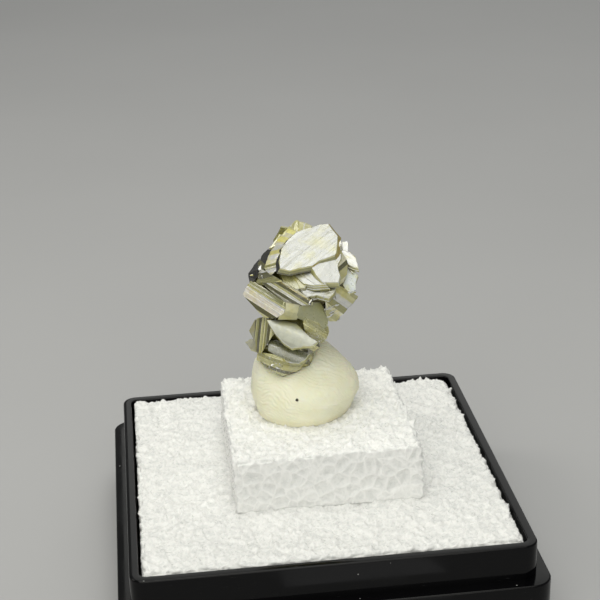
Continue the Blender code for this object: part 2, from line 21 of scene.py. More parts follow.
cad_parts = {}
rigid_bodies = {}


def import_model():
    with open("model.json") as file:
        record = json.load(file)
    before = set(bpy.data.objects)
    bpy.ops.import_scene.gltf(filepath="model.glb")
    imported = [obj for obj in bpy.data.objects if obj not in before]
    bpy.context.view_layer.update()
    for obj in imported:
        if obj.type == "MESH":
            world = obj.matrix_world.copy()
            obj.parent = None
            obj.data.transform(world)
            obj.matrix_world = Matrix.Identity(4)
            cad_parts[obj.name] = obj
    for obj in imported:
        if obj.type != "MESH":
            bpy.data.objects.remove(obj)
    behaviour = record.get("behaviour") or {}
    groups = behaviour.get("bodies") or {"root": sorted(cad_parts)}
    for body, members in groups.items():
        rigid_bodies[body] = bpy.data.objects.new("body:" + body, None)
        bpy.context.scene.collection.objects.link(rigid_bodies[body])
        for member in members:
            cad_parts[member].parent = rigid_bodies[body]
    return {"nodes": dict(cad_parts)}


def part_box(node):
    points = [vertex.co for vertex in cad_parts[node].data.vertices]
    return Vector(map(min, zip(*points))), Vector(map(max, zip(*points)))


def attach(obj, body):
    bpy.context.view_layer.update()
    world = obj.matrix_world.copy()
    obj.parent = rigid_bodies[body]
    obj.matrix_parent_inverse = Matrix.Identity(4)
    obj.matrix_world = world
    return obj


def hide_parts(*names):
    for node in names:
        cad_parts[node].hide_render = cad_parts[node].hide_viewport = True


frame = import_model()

MM = 0.001
scene = bpy.context.scene
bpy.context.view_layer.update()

# %% [markdown]
# ## Node trees written as sums
# Materials and Geometry Nodes are both trees of nodes joined by links. A small class adds a node,
# sets its options and fills its sockets, and hands back its output. Outputs can be added, taken
# away and multiplied like numbers, because sums make up half of any procedural finish.

# %% Helpers for node trees
class Wire:
    """One output of a node. Arithmetic with it adds Math nodes."""

    def __init__(self, tree, socket):
        self.tree, self.socket = tree, socket

    def __getitem__(self, name):
        """Another output of the same node."""
        return Wire(self.tree, self.socket.node.outputs[name])

    def math(self, operation, other=0.0):
        return self.tree.add("ShaderNodeMath", {0: self, 1: other}, operation=operation)

    def __mul__(self, other):
        return self.math("MULTIPLY", other)

    def __add__(self, other):
        return self.math("ADD", other)

    def __sub__(self, other):
        return self.math("SUBTRACT", other)


class Tree:
    """A node tree. Its methods add a node each and return its first output."""

    def __init__(self, tree):
        self.tree = tree

    def add(self, kind, inputs=None, **settings):
        """Any node. inputs maps a socket's name or number to a value or to a wire."""
        node = self.tree.nodes.new(kind)
        for name, value in settings.items():
            setattr(node, name, value)
        for name, value in (inputs or {}).items():
            if isinstance(value, Wire):
                self.tree.links.new(value.socket, node.inputs[name])
            else:
                node.inputs[name].default_value = value
        return Wire(self, node.outputs[0])

    def vector(self, operation, first, second):
        """A sum of vectors. SCALE takes a number as its second part."""
        socket = "Scale" if operation == "SCALE" else 1
        return self.add("ShaderNodeVectorMath", {0: first, socket: second}, operation=operation)

    def parts(self, vector):
        """A vector's x. Its y and z are outputs 1 and 2."""
        return self.add("ShaderNodeSeparateXYZ", {0: vector})

    def noise(self, place, scale, detail, roughness=0.5):
        return self.add("ShaderNodeTexNoise", {"Vector": place, "Scale": scale, "Detail": detail,
                                               "Roughness": roughness})

    def cells(self, place, scale, **settings):
        return self.add("ShaderNodeTexVoronoi", {"Vector": place, "Scale": scale}, **settings)

    def ramp(self, value, low, high, start=0.0, end=1.0):
        """A smooth step from start to end while value goes from low to high."""
        inputs = {"Value": value, "From Min": low, "From Max": high, "To Min": start, "To Max": end}
        return self.add("ShaderNodeMapRange", inputs, interpolation_type="SMOOTHSTEP")


class Finish(Tree):
    """A material with a Principled shader, whose uniform values are set on its own sockets."""

    def __init__(self, name, **uniform):
        self.material = bpy.data.materials.new(name)
        self.material.use_nodes = True
        super().__init__(self.material.node_tree)
        self.shader = self.tree.nodes["Principled BSDF"]
        for socket, value in uniform.items():
            self.shader.inputs[socket.replace("_", " ")].default_value = value
        self.place = self.vector("SCALE", self.add("ShaderNodeTexCoord")["Object"], 1 / MM)

    def mix(self, share, first, second, blend="MIX"):
        """A colour between two others, or with MULTIPLY the two laid over each other."""
        inputs = {0: share, 6: first, 7: second}
        return self.add("ShaderNodeMix", inputs, data_type="RGBA", blend_type=blend)[2]

    def drive(self, **wires):
        """Links wires to the shader's sockets."""
        for socket, wire in wires.items():
            self.tree.links.new(wire.socket, self.shader.inputs[socket.replace("_", " ")])

    def bump(self, height, strength, depth, **more):
        inputs = {"Height": height, "Strength": strength, "Distance": depth * MM, **more}
        return self.add("ShaderNodeBump", inputs)


# %% [markdown]
# Meshes are drawn in millimetres and stored in metres, with the object at the origin. Whatever a
# piece is made of, it is handed over in the same way: it gets its finish, rides on the one body
# and, where it refines a solid, takes that solid's place.

# %% Helpers for pieces
def new_object(name, data, collection=scene.collection):
    made = bpy.data.objects.new(name, data)
    collection.objects.link(made)
    return made


def mesh_object(bm, name, unit=MM, collection=scene.collection):
    """A new object from a bmesh."""
    bmesh.ops.scale(bm, vec=(unit, unit, unit), verts=bm.verts)
    mesh = bpy.data.meshes.new(name)
    bm.to_mesh(mesh)
    bm.free()
    return new_object(name, mesh, collection)


def store(mesh, name, kind, domain, values):
    """Stores a value for each point, face or corner of a mesh."""
    field = {"FLOAT": "value", "FLOAT_COLOR": "color", "FLOAT_VECTOR": "vector"}[kind]
    mesh.attributes.new(name, kind, domain).data.foreach_set(field, np.array(values, np.float32).ravel())


def modify(obj, kind, **settings):
    """Adds a modifier."""
    modifier = obj.modifiers.new(kind.title(), kind)
    for name, value in settings.items():
        setattr(modifier, name, value)
    return modifier


def lofted(bm, rings):
    """Faces from ring to ring of points, after a cap on the first and one on the last."""
    rings = [[bm.verts.new(point) for point in ring] for ring in rings]
    faces = [bm.faces.new(rings[0]), bm.faces.new(rings[-1][::-1])]
    for ring, behind in zip(rings, rings[1:]):
        for i in range(len(ring)):
            j = i + 1 - len(ring)
            faces.append(bm.faces.new((ring[j], ring[i], behind[i], behind[j])))
    bmesh.ops.recalc_face_normals(bm, faces=faces)
    return faces


def made_real(obj):
    """Turns the object's modifiers into a plain mesh of its own."""
    bpy.context.view_layer.update()
    seen = obj.evaluated_get(bpy.context.evaluated_depsgraph_get())
    old, obj.data = obj.data, bpy.data.meshes.new_from_object(seen)
    obj.modifiers.clear()
    bpy.data.meshes.remove(old)
    obj.data.name = obj.name


def hand_over(piece, finish, node=None):
    """The finished piece with its finish, body and the solid that it stands for."""
    piece.data.materials.clear()
    piece.data.materials.append(finish.material)
    piece.data.polygons.foreach_set("material_index", [0] * len(piece.data.polygons))
    if node:
        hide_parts(node)
    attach(piece, "root")
    print(piece.name + ":", triangles(piece), "triangles, top at",
          round(max(vert.co.z for vert in piece.data.vertices) / MM, 2), "mm")


def triangles(obj):
    return sum(len(face.vertices) - 2 for face in obj.data.polygons)


# %% [markdown]
# ## The camera
# A long lens looks down at the specimen from the front. Its three axes are also the crystals' own
# frame: u runs right, v upright and w towards the viewer, so a crystal can be laid out the way it
# is seen and then stood in the box.

# %% Camera
VIEW_TURN, VIEW_TIP, VIEW_ROLL = (math.radians(angle) for angle in (6.35, 22.66, -1.74))
CAMERA_PLACE, LENS, NEAREST_SEEN = (-12.2, -105.2, 67.1), 89.39, 1.0
ahead = Vector((math.sin(VIEW_TURN) * math.cos(VIEW_TIP), math.cos(VIEW_TURN) * math.cos(VIEW_TIP),
                -math.sin(VIEW_TIP)))
level = Vector((math.cos(VIEW_TURN), -math.sin(VIEW_TURN), 0.0))
overhead = level.cross(ahead)
across = level * math.cos(VIEW_ROLL) + overhead * math.sin(VIEW_ROLL)
upright = overhead * math.cos(VIEW_ROLL) - level * math.sin(VIEW_ROLL)
view_axes = Matrix((across, upright, -ahead)).transposed().to_4x4()

camera = new_object("viewer", bpy.data.cameras.new("viewer"))
camera.data.lens = LENS
camera.data.clip_start = NEAREST_SEEN * MM
camera.matrix_world = Matrix.Translation(Vector(CAMERA_PLACE) * MM) @ view_axes
scene.camera = camera
print("camera stands", round(camera.location.length / MM), "mm from the middle of the base")

# %% [markdown]
# ## Floor and light
# The crystals' broad faces lean back by about 30 degrees. Seen from the camera they mirror what is
# straight above, so one large soft light overhead makes them flash silver while every other face
# stays olive. Wide dim panels in front and behind open the shadows, a small warm light on the left
# reaches the lemon-yellow crystals, and a dim sky fills the rest. A card on the table in front
# shows as a grey gleam along the black rim. The floor is plain.

# %% Floor and light
FLOOR_REACH = 1.5
TABLE_GREYS = ((0.43, 0.43, 0.435, 1), (0.47, 0.47, 0.475, 1))
SKY_COLOUR, SKY_STRENGTH = (0.87, 0.88, 0.86, 1.0), 0.25
SOFT_LIGHTS = (  # name, place, what it looks at, side, all in millimetres, then watts and colour
    ("overhead_softbox", (-15, -25, 240), (0, 5, 10), 190, 0.31, (1.0, 1.0, 0.94)),
    ("front_panel", (-60, -340, 200), (0, 0, 12), 400, 0.75, (1.0, 0.99, 0.92)),
    ("low_card", (4, -34, 0.5), (4, -34, 60), 14, 0.0003, (1.0, 1.0, 1.0)),
    ("back_panel", (90, 330, 260), (0, 0, 15), 300, 0.22, (0.99, 1.0, 0.96)),
    ("left_window", (-190, 60, 170), (0, 0, 20), 90, 0.08, (1.0, 0.96, 0.88)),
)
for name, place, target, side, watts, colour in SOFT_LIGHTS:
    light = new_object(name, bpy.data.lights.new(name, "AREA"))
    light.data.size, light.data.energy, light.data.color = side * MM, watts, colour
    turn = (Vector(target) - Vector(place)).to_track_quat("-Z", "Y").to_matrix().to_4x4()
    light.matrix_world = Matrix.Translation(Vector(place) * MM) @ turn

scene.world = bpy.data.worlds.new("room")
scene.world.use_nodes = True
sky = scene.world.node_tree.nodes["Background"].inputs
sky["Color"].default_value, sky["Strength"].default_value = SKY_COLOUR, SKY_STRENGTH
scene.view_settings.view_transform = "Standard"

pale = Finish("pale_table", Roughness=0.8)
clouds = pale.noise(pale.place, 0.02, 3.0)
pale.drive(Base_Color=pale.mix(clouds, *TABLE_GREYS))
bm = bmesh.new()
bmesh.ops.create_grid(bm, x_segments=1, y_segments=1, size=FLOOR_REACH)
floor = mesh_object(bm, "table", unit=1)
floor.data.materials.append(pale.material)
print(len(SOFT_LIGHTS), "soft lights; the floor reaches", FLOOR_REACH, "m each way")

# %% [markdown]
# ## The base of the box
# It is an injection moulding in black polystyrene: a square skirt, a shoulder that the lid lands
# on, a slightly smaller rim, and one square pocket. A glossy black thing shows its edges and little
# else, so the radii matter. The profile is a list of rounded squares from the pocket's floor up,
# over the lip and down the outside. Each upper edge gets a small arc of its own.

# %% The base moulding
BASE_SIDE, RIM_SIDE, POCKET_SIDE = 31.75, 29.8, 28.4
SKIRT_TOP, LIP_TOP, POCKET_FLOOR = 5.7, 8.5, 1.2
SKIRT_CORNER, RIM_CORNER, POCKET_CORNER = 1.6, 1.1, 0.6
EDGE_RADIUS, INNER_RADIUS, EDGE_STEPS, CORNER_STEPS = 0.14, 0.10, 4, 10
SMALLEST_CORNER, SHARP_ANGLE = 0.05, math.radians(40)
FOOT_CHAMFER = ((0.5, 0.0), (0.14, 0.12), (0.0, 0.3))  # how much narrower, at which height


def rounded_square(side, corner, height):
    """Points round a square with round corners, anticlockwise."""
    half = side / 2 - corner
    points = []
    for quarter in range(4):
        start = quarter * math.pi / 2
        for step in range(CORNER_STEPS + 1):
            angle = start + step / CORNER_STEPS * math.pi / 2
            points.append((half * (math.cos(start) - math.sin(start)) + corner * math.cos(angle),
                           half * (math.sin(start) + math.cos(start)) + corner * math.sin(angle), height))
    return points


def edge_arc(side, corner, height, radius, outwards):
    """The squares round one convex edge, from its upright wall to the flat on top."""
    for step in range(EDGE_STEPS + 1):
        angle = step / EDGE_STEPS * math.pi / 2
        shrink = -outwards * radius * (1 - math.cos(angle)) * 2
        corner_here = max(corner + shrink / 2, SMALLEST_CORNER)
        yield side + shrink, corner_here, height - radius * (1 - math.sin(angle))


outside = [(BASE_SIDE - inset, SKIRT_CORNER, height) for inset, height in FOOT_CHAMFER]
outside += edge_arc(BASE_SIDE, SKIRT_CORNER, SKIRT_TOP, EDGE_RADIUS, 1)
outside += [(RIM_SIDE, RIM_CORNER, SKIRT_TOP), *edge_arc(RIM_SIDE, RIM_CORNER, LIP_TOP, EDGE_RADIUS, 1)]
profile = [(POCKET_SIDE, POCKET_CORNER, POCKET_FLOOR),
           *edge_arc(POCKET_SIDE, POCKET_CORNER, LIP_TOP, INNER_RADIUS, -1), *outside[::-1]]
bm = bmesh.new()
lofted(bm, [rounded_square(*square) for square in profile])
base_moulding = mesh_object(bm, "base_moulding")
base_moulding.data.shade_smooth()
base_moulding.data.set_sharp_from_angle(angle=SHARP_ANGLE)

# %% [markdown]
# Polished black plastic is nearly all reflection. What tells it from glass is wear: hair scratches
# that blur the gloss along their length, patches that fingers have dulled, and specks of pale dust
# and foam crumbs. Long thin noise gives the scratches, and a cell pattern cut off at its middle
# gives the specks.

# %% Black moulding finish
SCRATCH_TURN, SCRATCH_STRETCH = (0.2, 0.1, 0.5), (0.5, 9.0, 9.0)
PLASTIC_BLACK, SCRATCH_GREY = (0.0018, 0.0018, 0.0022, 1), (0.10, 0.10, 0.10, 1)
DUST_GREY = (0.55, 0.55, 0.53, 1)
black = Finish("black_moulding", IOR=1.59, Specular_IOR_Level=0.145)
long = black.add("ShaderNodeMapping",
                 {"Vector": black.place, "Rotation": SCRATCH_TURN, "Scale": SCRATCH_STRETCH})
hair = black.ramp(black.noise(long, 1.6, 4.0, 0.7), 0.66, 0.72)
crumbs = black.cells(black.place, 1.3)
seldom = black.ramp(black.add("ShaderNodeSeparateColor", {0: crumbs["Color"]}), 0.80, 0.82)
dust = black.ramp(crumbs["Distance"], 0.05, 0.09, 1.0, 0.0) * seldom
wear_and_edge_rounding = black.mix(hair * 0.25, PLASTIC_BLACK, SCRATCH_GREY)
smeared = hair * 0.25 + black.ramp(black.noise(black.place, 0.35, 3.0), 0.35, 0.7, 0.07, 0.16)
black.drive(Base_Color=black.mix(dust * 0.5, wear_and_edge_rounding, DUST_GREY),
            Roughness=smeared.math("MAXIMUM", dust * 0.8), Normal=black.bump(dust - hair, 0.25, 0.03))
hand_over(base_moulding, black, "base_tray")

# %% [markdown]
# ## Foam
# The liner and the block on it are cut from the same white polystyrene foam. A knife goes through
# its cells, each a little under a millimetre across: on the upright sides they show as shallow cups
# between thin bright walls, and on top the torn walls stand up as a crust of grains. That is relief,
# so it belongs in the mesh and not in a bump map. First comes a plain closed block with an even grid
# of small faces and rounded edges. It notes at each point how free it is to move, and how near it
# lies to a crushed edge.

# %% Foam blocks before their cells
FREE_ABOVE = 0.4  # the cells fade out towards the underside, over this height
CRUSHED_FROM, CRUSHED_OVER = 0.99, 0.2  # an edge is crushed outside this share of its rounding


def between(corners, s, t):
    """Places inside four corners, at shares s and t along their sides."""
    shares = ((1 - s) * (1 - t), s * (1 - t), s * t, (1 - s) * t)
    return sum(np.outer(share, corner) for share, corner in zip(shares, corners))


def foam_block(name, foot, head, low, high, spacing, rounding, rows):
    """A closed block on four foot and four head corners, given anticlockwise from the front left.
    Its top and its sides are fine grids. rows are the heights of the side rings, from 0 to 1."""
    foot, head = np.array(foot), np.array(head)
    nx, ny = (round(np.linalg.norm(head[corner] - head[0]) / spacing) for corner in (1, 3))
    index = np.arange((nx + 1) * (ny + 1)).reshape(nx + 1, ny + 1)
    border = np.concatenate((index[:-1, 0], index[-1, :-1], index[:0:-1, -1], index[0, :0:-1]))
    s, t = np.indices(index.shape).reshape(2, -1) / np.array([[nx], [ny]])
    layers = [(high, between(head, s, t))]
    for row in rows:
        foot_ring, head_ring = (between(corners, s[border], t[border]) for corners in (foot, head))
        layers.append((low + row * (high - low), foot_ring * (1 - row) + head_ring * row))
    points = np.vstack([np.column_stack((flat, np.full(len(flat), height))) for height, flat in layers])
    rings = [*(index.size + np.arange(len(rows) * len(border))).reshape(len(rows), -1), border]
    top = np.stack((index[:-1, :-1], index[1:, :-1], index[1:, 1:], index[:-1, 1:]), -1).reshape(-1, 4)
    sides = [np.stack((np.roll(under, 1), under, over, np.roll(over, 1)), -1)
             for under, over in zip(rings, rings[1:])]
    faces = [*np.vstack((top, *sides)).tolist(), rings[0][::-1].tolist()]

    middle = (points.max(0) + points.min(0)) / 2
    half = (points.max(0) - points.min(0)) / 2 - rounding
    away = points - middle
    away[:, 2] = np.maximum(away[:, 2], -half[2])
    beyond = away - np.clip(away, -half, half)
    length = np.maximum(np.linalg.norm(beyond, axis=1), 1e-9)
    points -= beyond * (1 - np.minimum(1.0, rounding / length))[:, None]
    mesh = bpy.data.meshes.new(name)
    mesh.from_pydata((points * MM).tolist(), [], faces)
    store(mesh, "free", "FLOAT", "POINT", np.clip((points[:, 2] - low) / FREE_ABOVE, 0, 1))
    store(mesh, "crushed", "FLOAT", "POINT", np.clip((length / rounding - CRUSHED_FROM) / CRUSHED_OVER, 0, 1))
    mesh.shade_smooth()
    return new_object(name, mesh)


LINER_TOP, LINER_BOTTOM, SUNK = 8.5, 1.25, 0.05
LINER_GRID, LINER_ROUNDING, LINER_ROWS = 0.108, 0.3, (0.0, 0.4, 0.75, 0.87, 0.93, 0.965, 0.985)
PEDESTAL_GRID, PEDESTAL_ROUNDING, PEDESTAL_ROWS = 0.096, 0.42, np.arange(46) / 46
PEDESTAL_FOOT = ((-6.55, -6.6), (7.8, -6.75), (7.9, 7.85), (-6.65, 8.05))
PEDESTAL_HEAD = ((-6.65, -6.75), (7.9, -6.55), (7.65, 8.05), (-6.5, 7.95))
lowest, highest = (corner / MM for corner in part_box("foam_liner"))
square = [(lowest.x, lowest.y), (highest.x, lowest.y), (highest.x, highest.y), (lowest.x, highest.y)]
liner = foam_block("liner_foam", square, square, LINER_BOTTOM, LINER_TOP,
                   LINER_GRID, LINER_ROUNDING, LINER_ROWS)
pedestal_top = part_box("foam_pedestal")[1].z / MM
pedestal = foam_block("pedestal_foam", PEDESTAL_FOOT, PEDESTAL_HEAD, LINER_TOP - SUNK, pedestal_top,
                      PEDESTAL_GRID, PEDESTAL_ROUNDING, PEDESTAL_ROWS)
print("liner and pedestal:", triangles(liner), "and", triangles(pedestal), "triangles")

# %% [markdown]
# The liner was pulled out of its sheet, and one corner tore off. The points beyond the tear are
# pushed back to it.

# %% The liner's torn corner
TEAR_FROM_CORNER, TEAR_DROP = 0.95, 0.4
pushed = 0
for vert in liner.data.vertices:
    gone = TEAR_FROM_CORNER * MM - (highest.x * MM - vert.co.x) - (highest.y * MM - vert.co.y)
    if gone > 0:
        vert.co -= Vector((gone / 2, gone / 2, gone * TEAR_DROP))
        pushed += 1
print("torn corner:", pushed, "points pushed back")

# %% [markdown]
# Light goes into foam and comes out again a cell or two away, so its shadows are pale and its cell
# walls look brighter than the cups between them. Subsurface scattering gives the first, and a
# Voronoi pattern of the cells' own size paints the second in as shade: the cups a little grey,
# deepest in their middles. Broken cell skins glint: a fine cell pattern turns some of them smooth
# and tips them with a bump.

# %% Foam finish
# The second and third colours are painted shade, greying the cells' cups and deepest in their middles.
FOAM_COLOURS = ((0.95, 0.95, 0.93), (0.84, 0.845, 0.83), (0.76, 0.77, 0.755), (0.93, 0.93, 0.91))


def cell_places(tree, over, shift):
    """Places counted in cells, moved by a shift and bent a little so that no row is straight."""
    place = tree.vector("ADD", over, shift)
    return tree.vector("ADD", place, tree.vector("SCALE", tree.noise(place, 1.1, 1.0)["Color"], 0.5))


def foam_finish(name, cell_size, shift, white):
    """White foam of one cell size. white scales its colours; the liner's lower value is painted shade on the
    same foam.
    """
    foam = Finish(name, IOR=1.5, Subsurface_Weight=0.3, Subsurface_Scale=0.4 * MM,
                  Subsurface_Radius=(1, 1, 1))
    place = cell_places(foam, foam.vector("SCALE", foam.place, 1.0 / cell_size), (shift, shift, 0.0))
    rim = foam.cells(place, 1.0, feature="DISTANCE_TO_EDGE")["Distance"]
    wall, cup, deep, crest = ((*(part * white for part in colour), 1) for colour in FOAM_COLOURS)
    hollow = foam.mix(foam.ramp(rim, 0.11, 0.5), foam.mix(foam.ramp(rim, 0.01, 0.11), wall, cup), deep)
    up = foam.parts(foam.add("ShaderNodeNewGeometry")["Normal"])[2]
    standing = (foam.ramp(up, 0.3, 0.7) * 0.4 + 0.6) * foam.ramp(foam.noise(place, 2.1, 3.0), 0.40, 0.62)
    film = foam.cells(place, 6.0)
    speck = foam.add("ShaderNodeSeparateColor", {0: film["Color"]})
    foam.drive(Base_Color=foam.mix(standing, hollow, crest),
               Roughness=foam.ramp(speck, 0.72, 0.80) * -0.45 + 0.62,
               Normal=foam.bump(film["Distance"] + speck[1], 0.55, 0.04))
    return foam


# %% [markdown]
# The cells repeat all over, so Geometry Nodes make them. A Voronoi texture gives each point its
# distance to the nearest cell wall. On the sides that becomes a thin wall and a shallow cup. On top
# the walls are torn: a noise decides how much of each one still stands, each cell sits a little
# higher or lower than the next, and a second, smaller pattern adds the grains.

# %% Foam cells with Geometry Nodes
class Growth(Tree):
    """A Geometry Nodes tree with a mesh input, a finish input and named size inputs."""

    def __init__(self, name, **sizes):
        super().__init__(bpy.data.node_groups.new(name, "GeometryNodeTree"))
        new_socket = self.tree.interface.new_socket
        new_socket("Geometry", in_out="OUTPUT", socket_type="NodeSocketGeometry")
        new_socket("Geometry", in_out="INPUT", socket_type="NodeSocketGeometry")
        new_socket("Finish", in_out="INPUT", socket_type="NodeSocketMaterial")
        for label, value in sizes.items():
            kind = "NodeSocketInt" if isinstance(value, int) else "NodeSocketFloat"
            new_socket(label.replace("_", " "), in_out="INPUT", socket_type=kind).default_value = value
        self.given = self.add("NodeGroupInput")

    def places(self, size):
        """Positions, counted in a size."""
        share = self.add("ShaderNodeMath", {0: 1.0, 1: self.given[size]}, operation="DIVIDE")
        return self.vector("SCALE", self.add("GeometryNodeInputPosition"), share)

    def noted(self, name):
        named = self.add("GeometryNodeInputNamedAttribute", {"Name": name}, data_type="FLOAT")
        return named["Attribute"]

    def push_out(self, height):
        """The given mesh with every point moved along its normal."""
        offset = self.vector("SCALE", self.add("GeometryNodeInputNormal"), height)
        return self.add("GeometryNodeSetPosition", {"Geometry": self.given, "Offset": offset})

    def run(self, geometry, *jobs):
        """Ends the tree and runs it on each (object, finish, sizes), which gets its mesh from it."""
        real = self.add("GeometryNodeRealizeInstances", {"Geometry": geometry})
        dressed = self.add("GeometryNodeSetMaterial",
                           {"Geometry": real, "Material": self.given["Finish"]})
        output = self.tree.nodes.new("NodeGroupOutput")
        self.tree.links.new(dressed.socket, output.inputs[0])
        for obj, finish, sizes in jobs:
            grown = modify(obj, "NODES", node_group=self.tree)
            for item in self.tree.interface.items_tree:
                if item.name in ("Finish", *sizes):
                    grown[item.identifier] = sizes.get(item.name, finish.material)
            made_real(obj)


# piece, size of its cells, height of its crust, ragged edge, shift of the pattern, whiteness, lower on the
# liner as painted shade
FOAM_JOBS = ((liner, 0.85, 0.26, 0.6, 3.7, 0.93), (pedestal, 0.95, 0.28, 1.5, 12.9, 1.0))
cells = Growth("foam_cells", Cell=0.85 * MM, Wall=0.10 * MM, Cup=0.10 * MM, Crust=0.26 * MM,
               Grain=0.06 * MM, Ragged=0.6 * MM, Shift=0.0)
given = cells.given
shift = cells.add("ShaderNodeCombineXYZ", {0: given["Shift"], 1: given["Shift"]})
place = cell_places(cells, cells.places("Cell"), shift)
rim = cells.cells(place, 1.0, feature="DISTANCE_TO_EDGE")["Distance"]
own = cells.parts(cells.cells(place, 1.0)["Color"])
torn = cells.noise(place, 2.1, 3.0, 0.65)
on_top = cells.ramp(cells.parts(cells.add("GeometryNodeInputNormal"))[2], 0.35, 0.8)

wall = cells.ramp(rim, 0.0, 0.13, 1.0, 0.0) * torn * given["Wall"]
side = wall - cells.ramp(rim, 0.03, 0.4) * (own * 1.2 + 0.3) * given["Cup"]
standing = cells.ramp(rim, 0.0, 0.2, 1.0, 0.0) * cells.ramp(torn, 0.42, 0.66)
grains = cells.ramp(cells.cells(place, 2.9)["Distance"], 0.05, 0.7, 1.0, -0.6)
crust = ((own[1] - 0.7) * 0.8 + standing) * given["Crust"] + grains * given["Grain"]
rolling = (cells.noise(place, 0.33, 2.0) - 0.5) * (on_top * 1.4 + 0.6) * given["Crust"]
lumps = own[2] * 0.3 + cells.noise(place, 0.8, 2.0) - 0.72
height = side + on_top * (crust - side) + rolling + lumps * cells.noted("crushed") * given["Ragged"]
jobs = []
for piece, cell, crust, ragged, moved, white in FOAM_JOBS:
    jobs.append((piece, foam_finish("white_" + piece.name, cell, moved, white),
                 {"Cell": cell * MM, "Crust": crust * MM, "Ragged": ragged * MM, "Shift": moved}))
cells.run(cells.push_out(height * cells.noted("free")), *jobs)
for (piece, finish, _), node in zip(jobs, ("foam_liner", "foam_pedestal")):
    hand_over(piece, finish, node)

# %% [markdown]
# ## The crystals
# The cluster is flat crystals grown through each other. Two kinds cover what is seen of them.
# A plate is a crystal seen on its broad face: an outline, a depth, a lean, and a stack of thin
# lamellae behind the face, each standing out a little further than the one before. A block is a
# crystal seen on its edges: the hull of a few corners, cut across by parallel lamellae. Both are
# laid out in the viewer's u, v and w, in millimetres. Each has its own look: silvery faces over a
# pale body at the top and front, lemon yellow and black olive on the left, bluish frost on the
# right, grey-green glass low down. The mineral grew in layers of changing colour, so a plate's
# walls and a block's lamellae each go through a list of colours.

# %% What the crystals are made from
# lean right and up in degrees, growth lines by direction and strength, colours from the front back
Plate = namedtuple("Plate", "name depth right up thick flare layers streak strength bulge dull face "
                            "walls outline")
